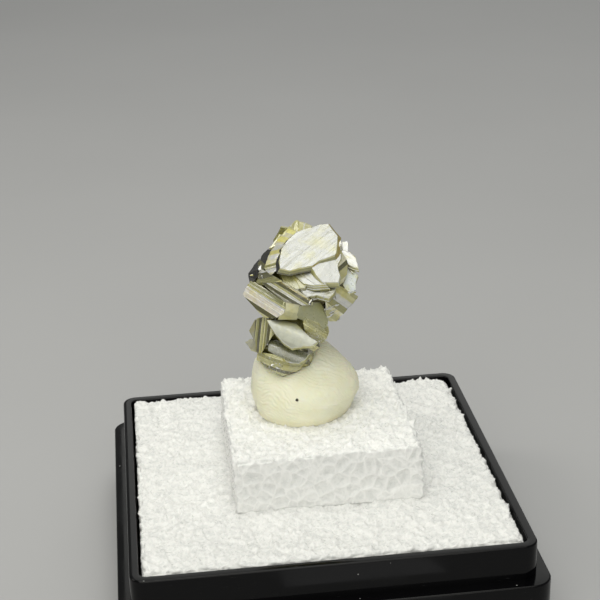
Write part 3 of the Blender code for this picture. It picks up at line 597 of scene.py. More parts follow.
# colours of the lamellae in turn, up the grain
Block = namedtuple("Block", "name grain pitch relief strength dull colours corners")
CLUSTER_ORIGIN = Vector((-0.28, 1.92, 22.1))
to_box = Matrix.Translation(CLUSTER_ORIGIN) @ view_axes
DIP = (0.53, 0.85, 0)  # most books of lamellae stand across this direction
PLATES = (
    Plate("crown", 2.35, 2, 31, 0.42, 0.18, 2, 47, 1, 0, 0.25, "silver", "straw olive olive moss",
        [(0.95, 5.65), (1.55, 5.85), (2.2, 5.9), (2.45, 5.5), (2.9, 4.95), (2.8, 3.7), (2.65, 3.45),
        (1.4, 3), (0.95, 2.65), (0, 2.45), (-0.8, 2.25), (-1.5, 2.45), (-1.55, 3), (-1.4, 3.9),
        (-0.95, 4.6), (-0.25, 5.25), (0.4, 5.5)]),
    Plate("shield", 2.95, 7, 33, 0.45, 0.16, 2, 62, 0.4, 0, 0.3, "silver", "straw khaki olive",
        [(0.85, 2.6), (1.4, 3.05), (2.35, 3.3), (3.15, 3.55), (3.15, 3.2), (2.9, 2.75), (2.9, 2.35),
        (3.05, 1.9), (2.9, 1.35), (1.7, 1.35), (1.25, 1.9)]),
    Plate("shield_step", 3.2, -8, 36, 0.6, 0.2, 3, -48, 1.2, 0, 0.1, "silver", "straw khaki olive",
        [(-0.3, 1.9), (0.4, 2.1), (0.95, 2.5), (1.5, 1.8), (1.9, 1.25), (1, 1.2), (0.25, 1.35)]),
    Plate("shelf", 2.95, -10, 30, 0.5, 0.12, 2, -62, 1.2, 0, 0.5, "khaki", "cream olive moss",
        [(-1.7, 2.4), (-0.1, 2.15), (0.75, 1.7), (0.35, 0.95), (-0.45, 0.85), (-1.15, 1.2)]),
    Plate("ledge", 3.2, 2, 24, 0.6, 0.1, 2, 20, 1.1, 0, 0.3, "silver", "straw khaki olive",
        [(-0.1, 0.7), (0.3, 0.95), (1.55, 0.95), (2.75, 1.1), (2.6, 0.55), (2.2, 0.15), (1.25, 0.4),
        (0.45, 0.25)]),
    Plate("blade", 0.5, 5, 33, 0.45, 0.06, 1, 60, 0.4, 0, 0.1, "white", "cream khaki",
        [(3.3, 4.55), (3.75, 4.6), (3.75, 3.85), (3.6, 3.6), (3.35, 3.9)]),
    Plate("wing", 1.35, 8, 32, 0.4, 0.1, 2, -38, 0.9, 0, 0.1, "white", "white khaki olive",
        [(3, 3.75), (3.45, 3.85), (3.9, 3.7), (4.3, 3.3), (4.5, 2.5), (4.15, 2.6), (3.75, 2.8),
        (3.35, 3.15), (3.05, 3.3)]),
    Plate("fin", 1.7, 14, 25, 0.45, 0.12, 2, -62, 0.6, 0, 0.6, "frost", "white straw khaki",
        [(3.55, 2.35), (4, 2.5), (4.5, 1.9), (4.3, 1.4), (4.3, 0.8), (3.9, 0.65), (3.55, 0.8),
        (3.3, 1.2)]),
    Plate("lens", 2.9, -4, 24, 0.45, 0.06, 1, -28, 0.15, 0.3, 0.75, "mist", "cream straw khaki",
        [(-2.5, -1.55), (-1.8, -1.5), (-0.95, -1.55), (-0.3, -1.7), (0.25, -2.35), (0.7, -2.8),
        (1.25, -3.15), (0.95, -3.4), (0.3, -3.45), (-0.65, -3.5), (-1.25, -3.15), (-1.8, -2.6),
        (-2.2, -2.05)]),
    Plate("lens_low", 1.95, -6, 18, 0.5, 0.08, 1, -22, 0.25, 0.28, 0.5, "smoke", "straw khaki olive",
        [(-2.45, -3.15), (-1.9, -3), (-1.1, -3.3), (-0.25, -3.7), (0.7, -4.1), (0.4, -4.55), (-0.1, -4.8),
        (-0.85, -4.75), (-1.5, -4.45), (-2.05, -4.1), (-2.45, -3.85)]),
    Plate("brow", 2.65, 12, -14, 0.9, 0.06, 1, -35, 0.5, 0.3, 0.6, "slate", "straw khaki olive",
        [(0, -0.5), (0.7, -0.25), (1.6, -0.25), (2.05, -0.95), (2.2, -1.4), (2.1, -2), (1.7, -2.4),
        (0.8, -1.8), (-0.25, -1.4)]),
    Plate("leaf", -0.1, -24, 10, 0.4, 0.05, 1, 70, 0.4, 0, 0.2, "pearl", "cream khaki",
        [(-4, -2.4), (-3.55, -1.55), (-3.3, -1.7), (-3.3, -3.1), (-3.6, -3.2)]),
    Plate("leaf_low", 0, -20, 14, 0.4, 0.05, 1, 60, 0.4, 0, 0.2, "pearl", "cream khaki",
        [(-4.3, -3.3), (-3.9, -3.05), (-3.3, -3.3), (-3.35, -4.05), (-3.9, -3.85)]),
)
BLOCKS = (
    Block("left_book", DIP, 0.32, 0.1, 0.5, 0.15,
        "straw moss rose white rose rose white khaki slate slate khaki cream white moss",
        [(-4.45, 0.4, 0.5), (-4.1, 1.1, 0.6), (-3.7, 1.55, 0.7), (-1.1, -0.1, 3.1), (-1.25, -1, 3.05),
        (-1.9, -1.4, 2.7), (-2.8, -1.35, 1.9), (-3.35, -0.7, 1.3), (0, 0.25, -0.4), (-3, 0.1, -1.2),
        (-0.8, -1.55, 0)]),
    Block("left_side", (0.3, 0.95, 0.1), 0.6, 0.02, 0.1, 0.7, "khaki khaki straw khaki",
        [(-1.25, -0.15, 3.1), (0.25, -0.3, 3), (0.1, -0.95, 2.85), (-0.25, -1.5, 2.6), (-1.7, -1.5, 2.65),
        (-1.4, -1, 3), (0, 0, 0.5), (-1.2, -1.55, 0.5)]),
    Block("rib_book", DIP, 0.22, 0.12, 1, 0.2,
        "pearl moss white khaki moss amber cream moss white moss pearl moss",
        [(-3, 1.35, 1.6), (-2.5, 1.65, 2), (-1.35, 1.5, 2.7), (-0.85, 1, 3.1), (-0.1, 0.8, 3.4),
        (0.45, 0.3, 3.45), (0.95, -0.3, 3.2), (0.25, -0.4, 3.2), (-1.1, -0.15, 3.15), (-2.2, 0.65, 2.5),
        (-1.2, 1.7, 0.5), (0.4, 0.8, 0.5), (-0.4, -0.45, 1)]),
    Block("right_block", (0.57, 0.82, 0), 0.42, 0.05, 0.5, 0.2, "straw khaki straw cream olive white",
        [(2.25, 0.7, 2.9), (2.8, 1.25, 2.75), (3.55, 0.8, 2.2), (4.5, 0.3, 1.2), (4.45, 0.1, 1),
        (3.75, -0.55, 1.3), (3.2, -1.2, 1.5), (2.75, -1.65, 1.7), (2.25, -1.65, 2.1), (1.95, -1, 2.6),
        (1.95, 0, 3), (3.55, 0.3, -1.5), (2.75, 0.95, -1), (2.6, -1.4, -0.8)]),
    Block("shoulder", (-0.5, 0.8, 0.2), 0.4, 0.05, 0.6, 0.2, "khaki straw moss cream",
        [(2.8, 3.6, 2.2), (3.2, 3.9, 1.5), (3.7, 2.8, 1.9), (3.6, 1.95, 2), (3.2, 1.1, 2.3),
        (2.75, 1.2, 2.8), (2.9, 2.35, 2.7), (3, 3, 2.4), (3.55, 3.15, -1), (3.15, 1.2, -1)]),
    Block("collar", (0.57, 0.82, 0.1), 0.3, 0.09, 0.4, 0.4, "khaki olive khaki straw",
        [(0.25, -1.55, 2.5), (0.65, -1.35, 2.6), (1.55, -1.55, 2.4), (2.2, -2.05, 1.8),
        (2.15, -2.75, 1.7), (1.95, -3.05, 1.5), (1.65, -3.35, 1.5), (1.1, -3.2, 1.9), (0.4, -2.5, 2.4),
        (1.55, -1.7, -1.2), (1.4, -3.3, -0.8), (0, -2.35, -0.5)]),
    Block("peak", (0.9, 0.2, 0.3), 0.34, 0.05, 0.4, 0.4, "straw white straw khaki",
        [(-0.25, 6.25, 0.6), (0.3, 6.1, 0.2), (0.95, 5.75, 0.5), (1, 5.4, 1), (0.4, 5.35, 1.3),
        (-0.1, 5.25, 1.5), (-0.55, 5.35, 1.2), (-0.8, 5.8, 0.5), (0, 5.95, -1.3), (0.85, 5.55, -1.2),
        (-0.65, 5.35, -1)]),
    Block("gold", (0.6, 0.7, -0.3), 0.5, 0.03, 0.5, 0.2, "cream lemon cream lemon straw",
        [(-0.8, 5.8, 0.6), (-0.3, 5.35, 1.4), (-0.25, 5.1, 1.6), (-1.2, 4.15, 2.3), (-1.95, 4.4, 1.2),
        (-1.55, 4.75, 0.8), (-1.35, 5.15, 0.6), (-1.1, 5.4, 0.5), (-0.45, 5.1, -1), (-1.4, 4.3, -1)]),
    Block("stair", (-0.35, 0.9, 0.15), 0.3, 0.09, 0.9, 0.2, "cream white olive cream white straw white",
        [(-2.05, 3.9, 1.4), (-1.9, 4.45, 1.3), (-1.25, 4.3, 2.2), (-1.4, 3.75, 2.6), (-1.6, 2.45, 2.9),
        (-2.2, 1.9, 2.6), (-2.75, 2.45, 2), (-2.35, 3.35, 1.8), (-1.55, 3.9, -0.5), (-2.2, 2.5, -0.5)]),
    Block("dark_left", (0.3, 0.9, 0.2), 0.6, 0.04, 0.5, 0.1, "pitch moss pitch",
        [(-3, 3.45, 0.6), (-2.5, 3.95, 0.9), (-2.05, 3.9, 1.6), (-2.25, 3.35, 1.9), (-2.8, 2.25, 1.9),
        (-3.3, 2.1, 1.2), (-3.3, 2.8, 0.8), (-2.5, 3.45, -1.2), (-2.8, 2.35, -1.2)]),
    Block("black_left", (0.2, 0.95, 0.1), 0.7, 0.04, 0.4, 0, "pitch pitch pitch",
        [(-4.05, 2.1, 0.1), (-3.6, 2.75, 0.2), (-3.15, 3.25, 0.3), (-3.15, 2.8, 1), (-3.35, 2.35, 1.25),
        (-3.3, 1.8, 1.3), (-3.9, 1.2, 0.5), (-3, 2.65, -1), (-3.3, 1.55, -1)]),
    Block("cheek", (-0.4, 0.9, 0.2), 0.55, 0.04, 1.2, 0.2, "olive moss straw olive moss white",
        [(-3.2, 1.9, 0.8), (-3.2, 2.2, 1.3), (-2.9, 2.35, 2), (-2.1, 1.9, 2.7), (-1.25, 1.4, 2.9),
        (-2.2, 1.35, 2.5), (-3, 1.4, 1.8), (-3.4, 1.4, 1.1), (-3.4, 1, 0.6), (-2.75, 1.9, -1),
        (-3, 1.1, -0.5)]),
    Block("ribs", (0.95, -0.1, 0.3), 0.26, 0.08, 0.8, 0.2, "khaki moss straw olive moss straw",
        [(-3.5, -1.55, 0.4), (-3, -1.35, 1.1), (-2.6, -1.4, 1.6), (-1.9, -2.45, 2.1), (-2.45, -3.2, 1.9),
        (-3, -4.1, 1.5), (-3.4, -4, 0.9), (-3.55, -2.8, 0.5), (-2.5, -1.7, -1), (-3, -3.75, -1),
        (-3.45, -2.75, -0.8)]),
    Block("foot", (0.25, 0.95, 0.2), 0.4, 0.06, 0.7, 0.3, "khaki olive khaki moss straw",
        [(-3.35, -4, 0.9), (-2.35, -4.15, 1.8), (-1.35, -4.55, 2), (0, -4.7, 1.5), (0.3, -4.45, 1.2),
        (0.1, -5.35, 1.1), (-0.8, -5.6, 1.4), (-1.35, -5.9, 1.4), (-2.45, -5.35, 1.3), (-3, -4.8, 0.9),
        (-1.2, -6.05, -0.6), (-3, -4.7, -0.9), (0, -5.15, -0.8)]),
    Block("hip", DIP, 0.3, 0.06, 0.5, 0.3, "khaki straw moss",
        [(0, -3.45, 2), (0.8, -3.35, 1.8), (1.4, -3.3, 1.5), (1.55, -3.6, 1.2), (0.85, -4, 1.2),
        (0.45, -4.4, 1.2), (0, -4.1, 1.8), (1.2, -3.55, -1), (0.25, -4.4, -1)]),
)
# Painted shadow: the crown's left side leans out and is painted pitch black, as the dark shadow line along
# that edge.
PLAIN_WALLS = {  # plates with smooth walls, and sides of theirs that lean out by further millimetres
    "crown": ((-1, 0.12, "pitch"), (1, 0.12, "amber")), "shield": ()}
HEARTS = (  # the hidden middles that every crystal grows out of: (middle, radii)
    ((0.2, 2.1, -0.2), (3.55, 3.4, 2.75)), ((-0.9, -1.6, 0.0), (2.1, 2.5, 1.95)),
    ((-1.3, -3.9, -0.1), (1.5, 1.7, 1.2)))
# Growth repeats round two upright axes at (u, w): (turn in degrees, size, drop, which crystals)
HEAD_AXIS, NECK_AXIS = (0.15, -0.25), (-1.0, -0.2)
HEAD_TURNS = (
    (122, 0.84, 0.75, "crown"),
    (122, 0.84, 0.1, "shield ledge wing left_book left_side rib_book right_block"),
    (-124, 0.76, 0.8, "crown"),
    (-124, 0.8, 0.1, "shield shield_step left_book left_side brow"),
    (180, 0.78, 0.1, "crown"),
    (174, 0.92, 0.3, "shield right_block left_side cheek"),
)
NECK_TURNS = ((118, 0.88, 0.0, "lens lens_low ribs foot collar"), (-120, 0.84, 0.1, "lens_low foot hip"))

# %% Colours of the crystals
COLOURS = {
    "silver": (0.52, 0.53, 0.50), "white": (0.80, 0.80, 0.77), "cream": (0.84, 0.81, 0.62),
    "lemon": (0.93, 0.88, 0.34), "straw": (0.72, 0.69, 0.35), "khaki": (0.58, 0.56, 0.25),
    "olive": (0.38, 0.37, 0.14), "moss": (0.12, 0.115, 0.035), "pitch": (0.010, 0.009, 0.003),
    "frost": (0.84, 0.90, 0.88), "slate": (0.38, 0.385, 0.17), "smoke": (0.25, 0.26, 0.175),
    "mist": (0.44, 0.455, 0.34), "pearl": (0.46, 0.45, 0.35), "amber": (0.50, 0.40, 0.10),
    "rose": (0.90, 0.84, 0.74),
}
EXTRA_COLOURS = random.Random(5)


def tone(colour, spread=0.10, dull=0.0):
    """A palette colour, made a little lighter or darker. Its fourth part is the gloss."""
    share = 1.0 + EXTRA_COLOURS.uniform(-spread, spread)
    return *(min(1.0, part * share) for part in COLOURS[colour]), 1.0 - dull


def painted(bm, colour_of, growth_of):
    """The mesh in triangles, its faces' colours, and its corners' places along the growth lines."""
    bmesh.ops.triangulate(bm, faces=bm.faces)
    bmesh.ops.recalc_face_normals(bm, faces=bm.faces)
    bm.normal_update()
    return (bm, [colour_of(face) for face in bm.faces],
            [growth_of(face, vert.co) for face in bm.faces for vert in face.verts])


# %% [markdown]
# Growth lines are real relief. Straight cuts run across a plate's face in one direction, and each
# cut line is lifted or sunk by about a hundredth of a millimetre, so the face becomes long flat
# strips that tilt by a few degrees and catch the light in turn. Behind the face every lamella is
# its own pair of rings; the two largest plates have plain sloping walls.

# %% Plates
STRIP_WIDTHS, NARROW_STRIP, STRIP_RELIEF, COARSE_STRIP = (0.06, 0.45), 0.035, 0.012, 0.8
WIDE_SHARE, LAMELLA_SHIFT, START_BEFORE = 0.75, 0.02, 0.01
ARCH_PARTS = 4  # further cuts in each strip of an arched face, so that it looks round
BEVEL, FACE_TURN, WIDE_SIDE_TURN, FLAT, TOUCHING = 0.03, 0.8, 0.42, 0.999, 1e-4
LONGEST_MITRE = 1.8


def offset_outline(outline, distance, wide_sides):
    """The outline moved outwards, and more towards its wide sides. Corners stay corners."""
    points = [Vector(point) for point in outline]
    sides = [(point - points[i - 1]).normalized() for i, point in enumerate(points)]
    turn = math.copysign(1.0, sum(points[i - 1].cross(point) for i, point in enumerate(points)))
    outward = [Vector((side.y, -side.x)) * turn for side in sides]
    for point, before, after in zip(points, outward, outward[1:] + outward[:1]):
        mitre = (before + after).normalized()
        stretch = min(1.0 / max(mitre.dot(before), 0.3), LONGEST_MITRE)
        wider = sum(reach * max(0.0, mitre.x * towards) for towards, reach, _ in wide_sides)
        yield point + mitre * (distance + wider) * stretch


def plate_crystal(plate, fine, draw):
    """A flat crystal with growth lines on its face and lamellae behind it."""
    colours = plate.walls.split()
    wide_sides = PLAIN_WALLS.get(plate.name, ()) if fine else ()
    count = len(colours) if fine else plate.layers
    step = plate.thick / count
    steps = [(0.0, 0.0)]
    for layer in range(count):
        out = plate.flare * (layer + 0.8) / count
        out += draw.uniform(-LAMELLA_SHIFT, LAMELLA_SHIFT) if fine else 0.0
        steps += [(layer * step + BEVEL, out), ((layer + 1) * step, out)]
    if fine and plate.name in PLAIN_WALLS:
        backs = [0.0, BEVEL] + [step * (layer + 1) for layer in range(count)]
        steps = [(back, plate.flare * back / plate.thick) for back in backs]

    right, up, angle = (math.radians(lean) for lean in (plate.right, plate.up, plate.streak))
    normal = Vector((math.sin(right), math.cos(right) * math.sin(up), math.cos(right) * math.cos(up)))
    middle = sum((Vector(point) for point in plate.outline), Vector((0.0, 0.0))) / len(plate.outline)
    rings = []
    for back, out in steps:
        wider = [(towards, reach * back / plate.thick, colour) for towards, reach, colour in wide_sides]
        ring = [(u, v, plate.depth - ((u - middle.x) * normal.x + (v - middle.y) * normal.y) / normal.z)
                for u, v in offset_outline(plate.outline, out, wider)]
        rings.append([Vector(point) - normal * back for point in ring])
    bm = bmesh.new()
    front = lofted(bm, rings)[0].verts[:]

    along = Vector((math.cos(angle), math.sin(angle), 0.0))
    along = (along - normal * along.dot(normal)).normalized()
    aside = normal.cross(along)
    base = front[0].co.dot(normal)
    first, last = (pick(vert.co.dot(aside) for vert in front) for pick in (min, max))
    knots = [first - START_BEFORE]
    while knots[-1] < last:
        width = draw.uniform(*STRIP_WIDTHS) if fine else COARSE_STRIP
        knots.append(knots[-1] + (width if draw.random() < WIDE_SHARE else NARROW_STRIP))
    parts = ARCH_PARTS if fine and plate.bulge else 1
    for knot in np.interp(np.arange(1, parts * (len(knots) - 1)) / parts, range(len(knots)), knots):
        bm.normal_update()
        strip = [face for face in bm.faces if face.normal.dot(normal) > FLAT
                 and abs(face.verts[0].co.dot(normal) - base) < TOUCHING]
        geometry = dict.fromkeys(item for face in strip for item in (face, *face.edges, *face.verts))
        bmesh.ops.bisect_plane(bm, geom=list(geometry), dist=TOUCHING,
                               plane_co=aside * knot, plane_no=aside)
    lifts = [plate.strength * draw.uniform(-STRIP_RELIEF, STRIP_RELIEF) for _ in knots]
    for vert in bm.verts:
        if abs(vert.co.dot(normal) - base) < TOUCHING:
            vert.co += normal * float(np.interp(vert.co.dot(aside), knots, lifts))

    def arch(co):
        """How far an arched face has fallen back at a place."""
        return plate.bulge * (2 * (co.dot(aside) - first) / (last - first) - 1.0) ** 2

    for vert in bm.verts:
        vert.co -= normal * arch(vert.co)
    strips = [tone(plate.face, 0.08 + 0.1 * plate.strength, plate.dull) for _ in knots]
    walls = [tone(colours[layer * len(colours) // count], 0.12) for layer in range(count)]
    # Painted highlight: the thin bevel faces along each plate's front edge are painted white.
    bevel_highlight = tone("white")

    def colour_of(face):
        centre = face.calc_center_median()
        if face.normal.dot(normal) > FACE_TURN:
            return strips[int(np.searchsorted(knots, centre.dot(aside))) - 1]
        depth = base - arch(centre) - centre.dot(normal)
        for towards, _, colour in wide_sides:
            if face.normal.x * towards > WIDE_SIDE_TURN and depth > 2 * BEVEL:
                return tone(colour)
        return bevel_highlight if depth < BEVEL else walls[min(count - 1, int(depth / step))]

    def growth_of(face, co):
        if face.normal.dot(normal) > FACE_TURN:
            return co.dot(along), co.dot(aside), plate.strength
        return co.dot(along) + co.dot(aside), co.dot(normal), 0.3

    return painted(bm, colour_of, growth_of)


# %% [markdown]
# A block starts as a convex hull, the shape of a crystal between its natural planes. Planes across
# its grain then cut rings of new points. Each ring stands out or steps back: the deep ones end a
# lamella in a ledge, and the many fine ones between them are the growth lines on its sides. Some
# lamellae are dark, which gives the banded look of a book's leaves.

# %% Blocks
LEDGE, LEDGE_DEPTH, DEEPEST_PLAIN_RELIEF = 0.03, 0.4, 0.055
FIRST_LEDGE, NEXT_LEDGE, LAST_LEDGE = (0.5, 0.9), (0.7, 1.35), 0.4  # in pitches
FINE_PITCH, FINE_RELIEF, BAND_CHANGE = (0.06, 0.2), 0.012, 0.3
COARSE_LEDGES, COARSE_LINES = 1.7, 3.0  # how much wider apart the turned copies have theirs


def hull(points):
    """The convex hull of some points."""
    bm = bmesh.new()
    for point in points:
        bm.verts.new(point)
    found = bmesh.ops.convex_hull(bm, input=bm.verts)
    bmesh.ops.delete(bm, geom=found["geom_interior"], context="VERTS")
    return bm


def block_crystal(block, fine, draw):
    """A thick crystal with lamellae across its grain."""
    bm = hull(block.corners)
    grain = Vector(block.grain).normalized()
    low, high = (pick(vert.co.dot(grain) for vert in bm.verts) for pick in (min, max))
    middle = sum((vert.co for vert in bm.verts), Vector()) / len(bm.verts)

    def ring(at, out):
        """Cuts across the grain, and moves the new points away from the crystal's long line."""
        cut = bmesh.ops.bisect_plane(bm, geom=bm.verts[:] + bm.edges[:] + bm.faces[:], dist=1e-5,
                                     plane_co=grain * at, plane_no=grain)
        for vert in cut["geom_cut"]:
            if isinstance(vert, bmesh.types.BMVert):
                away = vert.co - middle
                vert.co += (away - grain * away.dot(grain)).normalized() * out

    pitch = block.pitch * (1.0 if fine else COARSE_LEDGES)
    at = low + pitch * draw.uniform(*FIRST_LEDGE)
    side = 1.0
    cuts = []
    while at < high - LAST_LEDGE * pitch:
        out = block.relief * draw.uniform(0.5, 1.0)
        if fine and block.relief > DEEPEST_PLAIN_RELIEF:
            ring(at, out)
            ring(at + LEDGE, -LEDGE_DEPTH * out)
        else:
            ring(at, side * out)
        cuts.append(at)
        side = -side
        at += pitch * draw.uniform(*NEXT_LEDGE)
    line = low + draw.uniform(*FINE_PITCH)
    while line < high - FINE_PITCH[0]:
        if min((abs(line - cut) for cut in cuts), default=1.0) > LEDGE * 1.5:
            ring(line, block.strength * draw.uniform(-FINE_RELIEF, FINE_RELIEF))
            if draw.random() < BAND_CHANGE * block.strength:
                cuts.append(line)
        line += draw.uniform(*FINE_PITCH) * (1.0 if fine else COARSE_LINES)
    cuts.sort()
    colours = block.colours.split()
    bands = [tone(colours[index % len(colours)], 0.12, block.dull) for index in range(len(cuts) + 1)]
    sideways = grain.orthogonal().normalized()

    def colour_of(face):
        return bands[int(np.searchsorted(cuts, face.calc_center_median().dot(grain)))]

    return painted(bm, colour_of, lambda face, co: (co.dot(sideways), co.dot(grain), block.strength))


def heart_crystal(middle, radii):
    """A hidden middle that joins the crystals."""
    bm = bmesh.new()
    bmesh.ops.create_icosphere(bm, subdivisions=1, radius=1.0,
                               matrix=Matrix.Translation(middle) @ Matrix.Diagonal((*radii, 1.0)))
    return painted(bm, lambda face: tone("olive"), lambda face, co: (co.x, co.y, 0.3))


# %% [markdown]
# The crystals that face the viewer come first. Smaller copies of them, turned round the upright
# axes of the cluster's head and neck, make its sides and its back. A union then joins all of them
# in one closed skin, so that no face hides inside another crystal. Boolean modifiers carry face and
# corner attributes over, which is how every facet keeps its own colour and its own growth
# direction. Where crystals enclose a pocket, the union leaves its wall inside; only the skin that
# reaches outside is kept.

# %% All crystals grown together
def crystal_object(name, made, turned=Matrix.Identity(4), collection=scene.collection):
    """A crystal stood in the box, with its colours and growth directions stored on it."""
    bm, colours, places = made
    bmesh.ops.transform(bm, matrix=to_box @ turned, verts=bm.verts)
    obj = mesh_object(bm, name, MM, collection)
    store(obj.data, "tint", "FLOAT_COLOR", "FACE", colours)
    store(obj.data, "growth", "FLOAT_VECTOR", "CORNER", places)
    return obj


def keep_largest_body(obj):
    """Deletes every separate body of a mesh but the largest."""
    bm = bmesh.new()
    bm.from_mesh(obj.data)
    left, bodies = set(bm.faces), []
    while left:
        body = [left.pop()]
        for face in body:
            near = {other for edge in face.edges for other in edge.link_faces} & left
            left -= near
            body.extend(near)
        bodies.append(body)
    bodies.sort(key=len)
    bmesh.ops.delete(bm, geom=[face for body in bodies[:-1] for face in body], context="FACES")
    open_edges = sum(not edge.is_manifold for edge in bm.edges)
    bm.to_mesh(obj.data)
    bm.free()
    print(obj.name + ":", len(bodies) - 1, "loose bodies removed,", open_edges, "open edges left")


crystals = {crystal.name: crystal for crystal in PLATES + BLOCKS}
growth = [(name, Matrix.Identity(4), "front") for name in crystals]
for axis, turns in ((HEAD_AXIS, HEAD_TURNS), (NECK_AXIS, NECK_TURNS)):
    for degrees, size, drop, names in turns:
        turned = (Matrix.Translation((axis[0], -drop, axis[1]))
                  @ Matrix.Rotation(math.radians(degrees), 4, "Y")
                  @ Matrix.Diagonal((size, 1.0, size, 1.0))
                  @ Matrix.Translation((-axis[0], 0.0, -axis[1])))
        growth += [(name, turned, f"turned_{degrees % 360}") for name in names.split()]

grown_together = bpy.data.collections.new("grown_together")
scene.collection.children.link(grown_together)
draw = random.Random(11)
for name, turned, where in growth:
    crystal = crystals[name]
    grow = plate_crystal if isinstance(crystal, Plate) else block_crystal
    crystal_object(f"{name}_{where}", grow(crystal, where == "front", draw), turned, grown_together)
for index, heart in enumerate(HEARTS[1:]):
    crystal_object(f"heart_{index}", heart_crystal(*heart), collection=grown_together)
cluster = crystal_object("crystals", heart_crystal(*HEARTS[0]))
modify(cluster, "BOOLEAN", operation="UNION", solver="MANIFOLD", operand_type="COLLECTION",
       collection=grown_together)
made_real(cluster)
for single in list(grown_together.objects):
    bpy.data.objects.remove(single)
bpy.data.collections.remove(grown_together)
print("cluster:", triangles(cluster), "triangles from", len(growth), "crystals")
keep_largest_body(cluster)

# %% [markdown]
# This mineral bends light strongly, almost as much as diamond, so even a pale crystal reflects like
# metal where it mirrors a bright light. The refractive index does that. Under the reflection the
# body is milky olive and lets some light through. Each facet's colour and gloss come from its
# attribute, and stretched noise in the growth direction draws the finest lines, too fine for the
# mesh. Edges are slightly rounded, and a painted highlight makes the open ones pale; painted shade
# makes the crevices between crystals deep olive. The largest plate has three yellow flushes, where
# the body colour shows through.

# %% Crystal finish
YELLOW_FLUSHES = (((1.15, 4.5, 2.1), 0.75), ((0.75, 3.4, 2.75), 0.6), ((2.6, 3.9, 2.45), 0.5))
EDGE_ROUNDING_RADIUS, CREVICE = 0.022 * MM, 0.9 * MM
LINE_STRETCH, BAND_STRETCH = (0.6, 13.0, 5.0), (0.5, 3.5, 5.0)  # long in the growth direction
LINE_SHADE, HONEY, FLUSH_YELLOW = (0.60, 0.57, 0.34, 1), (1.0, 0.95, 0.55, 1), (1.0, 0.95, 0.35, 1)
# Of these, the cream is a painted highlight on open edges, and the olive is painted shade in crevices.
CLOUD_GREY, EDGE_PAINTED_HIGHLIGHT, CREVICE_PAINTED_SHADE = (0.78, 0.80, 0.76, 1), (0.86, 0.84, 0.68, 1), (0.30, 0.28, 0.14, 1)
olive = Finish("adamantine_crystal", IOR=2.37, Transmission_Weight=0.2, Subsurface_Weight=0.4,
               Subsurface_Scale=0.35 * MM, Subsurface_Radius=(1.0, 0.95, 0.55))
tint = olive.add("ShaderNodeAttribute", attribute_name="tint")
growth_place = olive.add("ShaderNodeAttribute", attribute_name="growth")["Vector"]
strength = olive.parts(growth_place)[2]
lines = olive.noise(olive.vector("MULTIPLY", growth_place, LINE_STRETCH), 1.0, 3.0)
bands = olive.noise(olive.vector("MULTIPLY", growth_place, BAND_STRETCH), 1.0, 2.0)
patches = olive.noise(olive.place, 0.9, 3.0)
cloudy = olive.noise(olive.place, 3.5, 4.0)
line_share = olive.ramp(lines, 0.50, 0.66) * strength * 0.45
band_share = olive.ramp(bands, 0.50, 0.68) * strength * 0.5
shade = olive.mix(1.0, tint, LINE_SHADE, "MULTIPLY")
body = olive.mix(band_share, olive.mix(line_share, tint, shade), shade)
body = olive.mix(olive.ramp(patches, 0.50, 0.64, 0.0, 0.7), body, HONEY, "MULTIPLY")
for middle, radius in YELLOW_FLUSHES:
    ragged = cloudy * -0.9 + olive.vector("DISTANCE", olive.place, to_box @ Vector(middle))["Value"]
    flush = olive.ramp(ragged, -0.5, radius - 0.3, 0.75, 0.0)
    body = olive.mix(flush, body, FLUSH_YELLOW, "MULTIPLY")
body = olive.mix(olive.ramp(cloudy, 0.42, 0.62, 0.0, 0.5), body, CLOUD_GREY, "MULTIPLY")
open_sky = olive.add("ShaderNodeAmbientOcclusion", {"Distance": CREVICE}, samples=8)["AO"]
wear_and_edge_rounding = olive.add("ShaderNodeBevel", {"Radius": EDGE_ROUNDING_RADIUS}, samples=6)
turned = olive.vector("DOT_PRODUCT", wear_and_edge_rounding, olive.add("ShaderNodeNewGeometry")["Normal"])["Value"]
# Painted highlight: rounded edges out in the open are painted pale cream.
edge = olive.ramp(turned, 0.78, 0.97, 1.0, 0.0) * olive.ramp(open_sky, 0.6, 0.85, 0.0, 0.5)
body = olive.mix(edge, body, EDGE_PAINTED_HIGHLIGHT)
# Painted shade: ambient occlusion darkens the crevices between crystals to deep olive.
body = olive.mix(olive.ramp(open_sky, 0.25, 0.75, 0.85, 0.0), body, CREVICE_PAINTED_SHADE, "MULTIPLY")
dulled = tint["Alpha"] * -0.35 + 0.35 + line_share * 0.2 + olive.ramp(cloudy, 0.35, 0.65, 0.06, 0.16)
relief = (bands * 1.5 + lines) * strength + cloudy * 0.5
olive.drive(Base_Color=body, Roughness=dulled, Normal=olive.bump(relief, 0.4, 0.03, Normal=wear_and_edge_rounding))
hand_over(cluster, olive, "crystal_cluster")

# %% [markdown]
# ## Small crystals
# In the re-entrants between the large crystals sit later, smaller ones: thin slabs a tenth to a
# quarter of a millimetre long, turned every way. They follow a surface and repeat, so Geometry
# Nodes scatter them at a few spots.

# %% Small crystals with Geometry Nodes
DRUSE_SPOTS = (((1.15, 0.0, 3.3), 0.55), ((2.35, -0.9, 2.6), 0.5), ((-2.0, -5.1, 1.6), 0.6),
               ((-0.4, -3.6, 2.3), 0.45), ((1.3, -3.0, 1.8), 0.5), ((-2.9, 1.8, 1.8), 0.35),
               ((0.9, -0.2, 3.3), 0.4), ((-2.2, -1.6, 2.1), 0.3))
SLAB_SHAPE = (1.3, 0.6, 0.2)
bed = new_object("small_crystals", cluster.data.copy())
spots = [(to_box @ Vector(spot) * MM, radius * MM) for spot, radius in DRUSE_SPOTS]
crowd = [any((face.center - spot).length < radius for spot, radius in spots)
         for face in bed.data.polygons]
store(bed.data, "crowd", "FLOAT", "FACE", crowd)

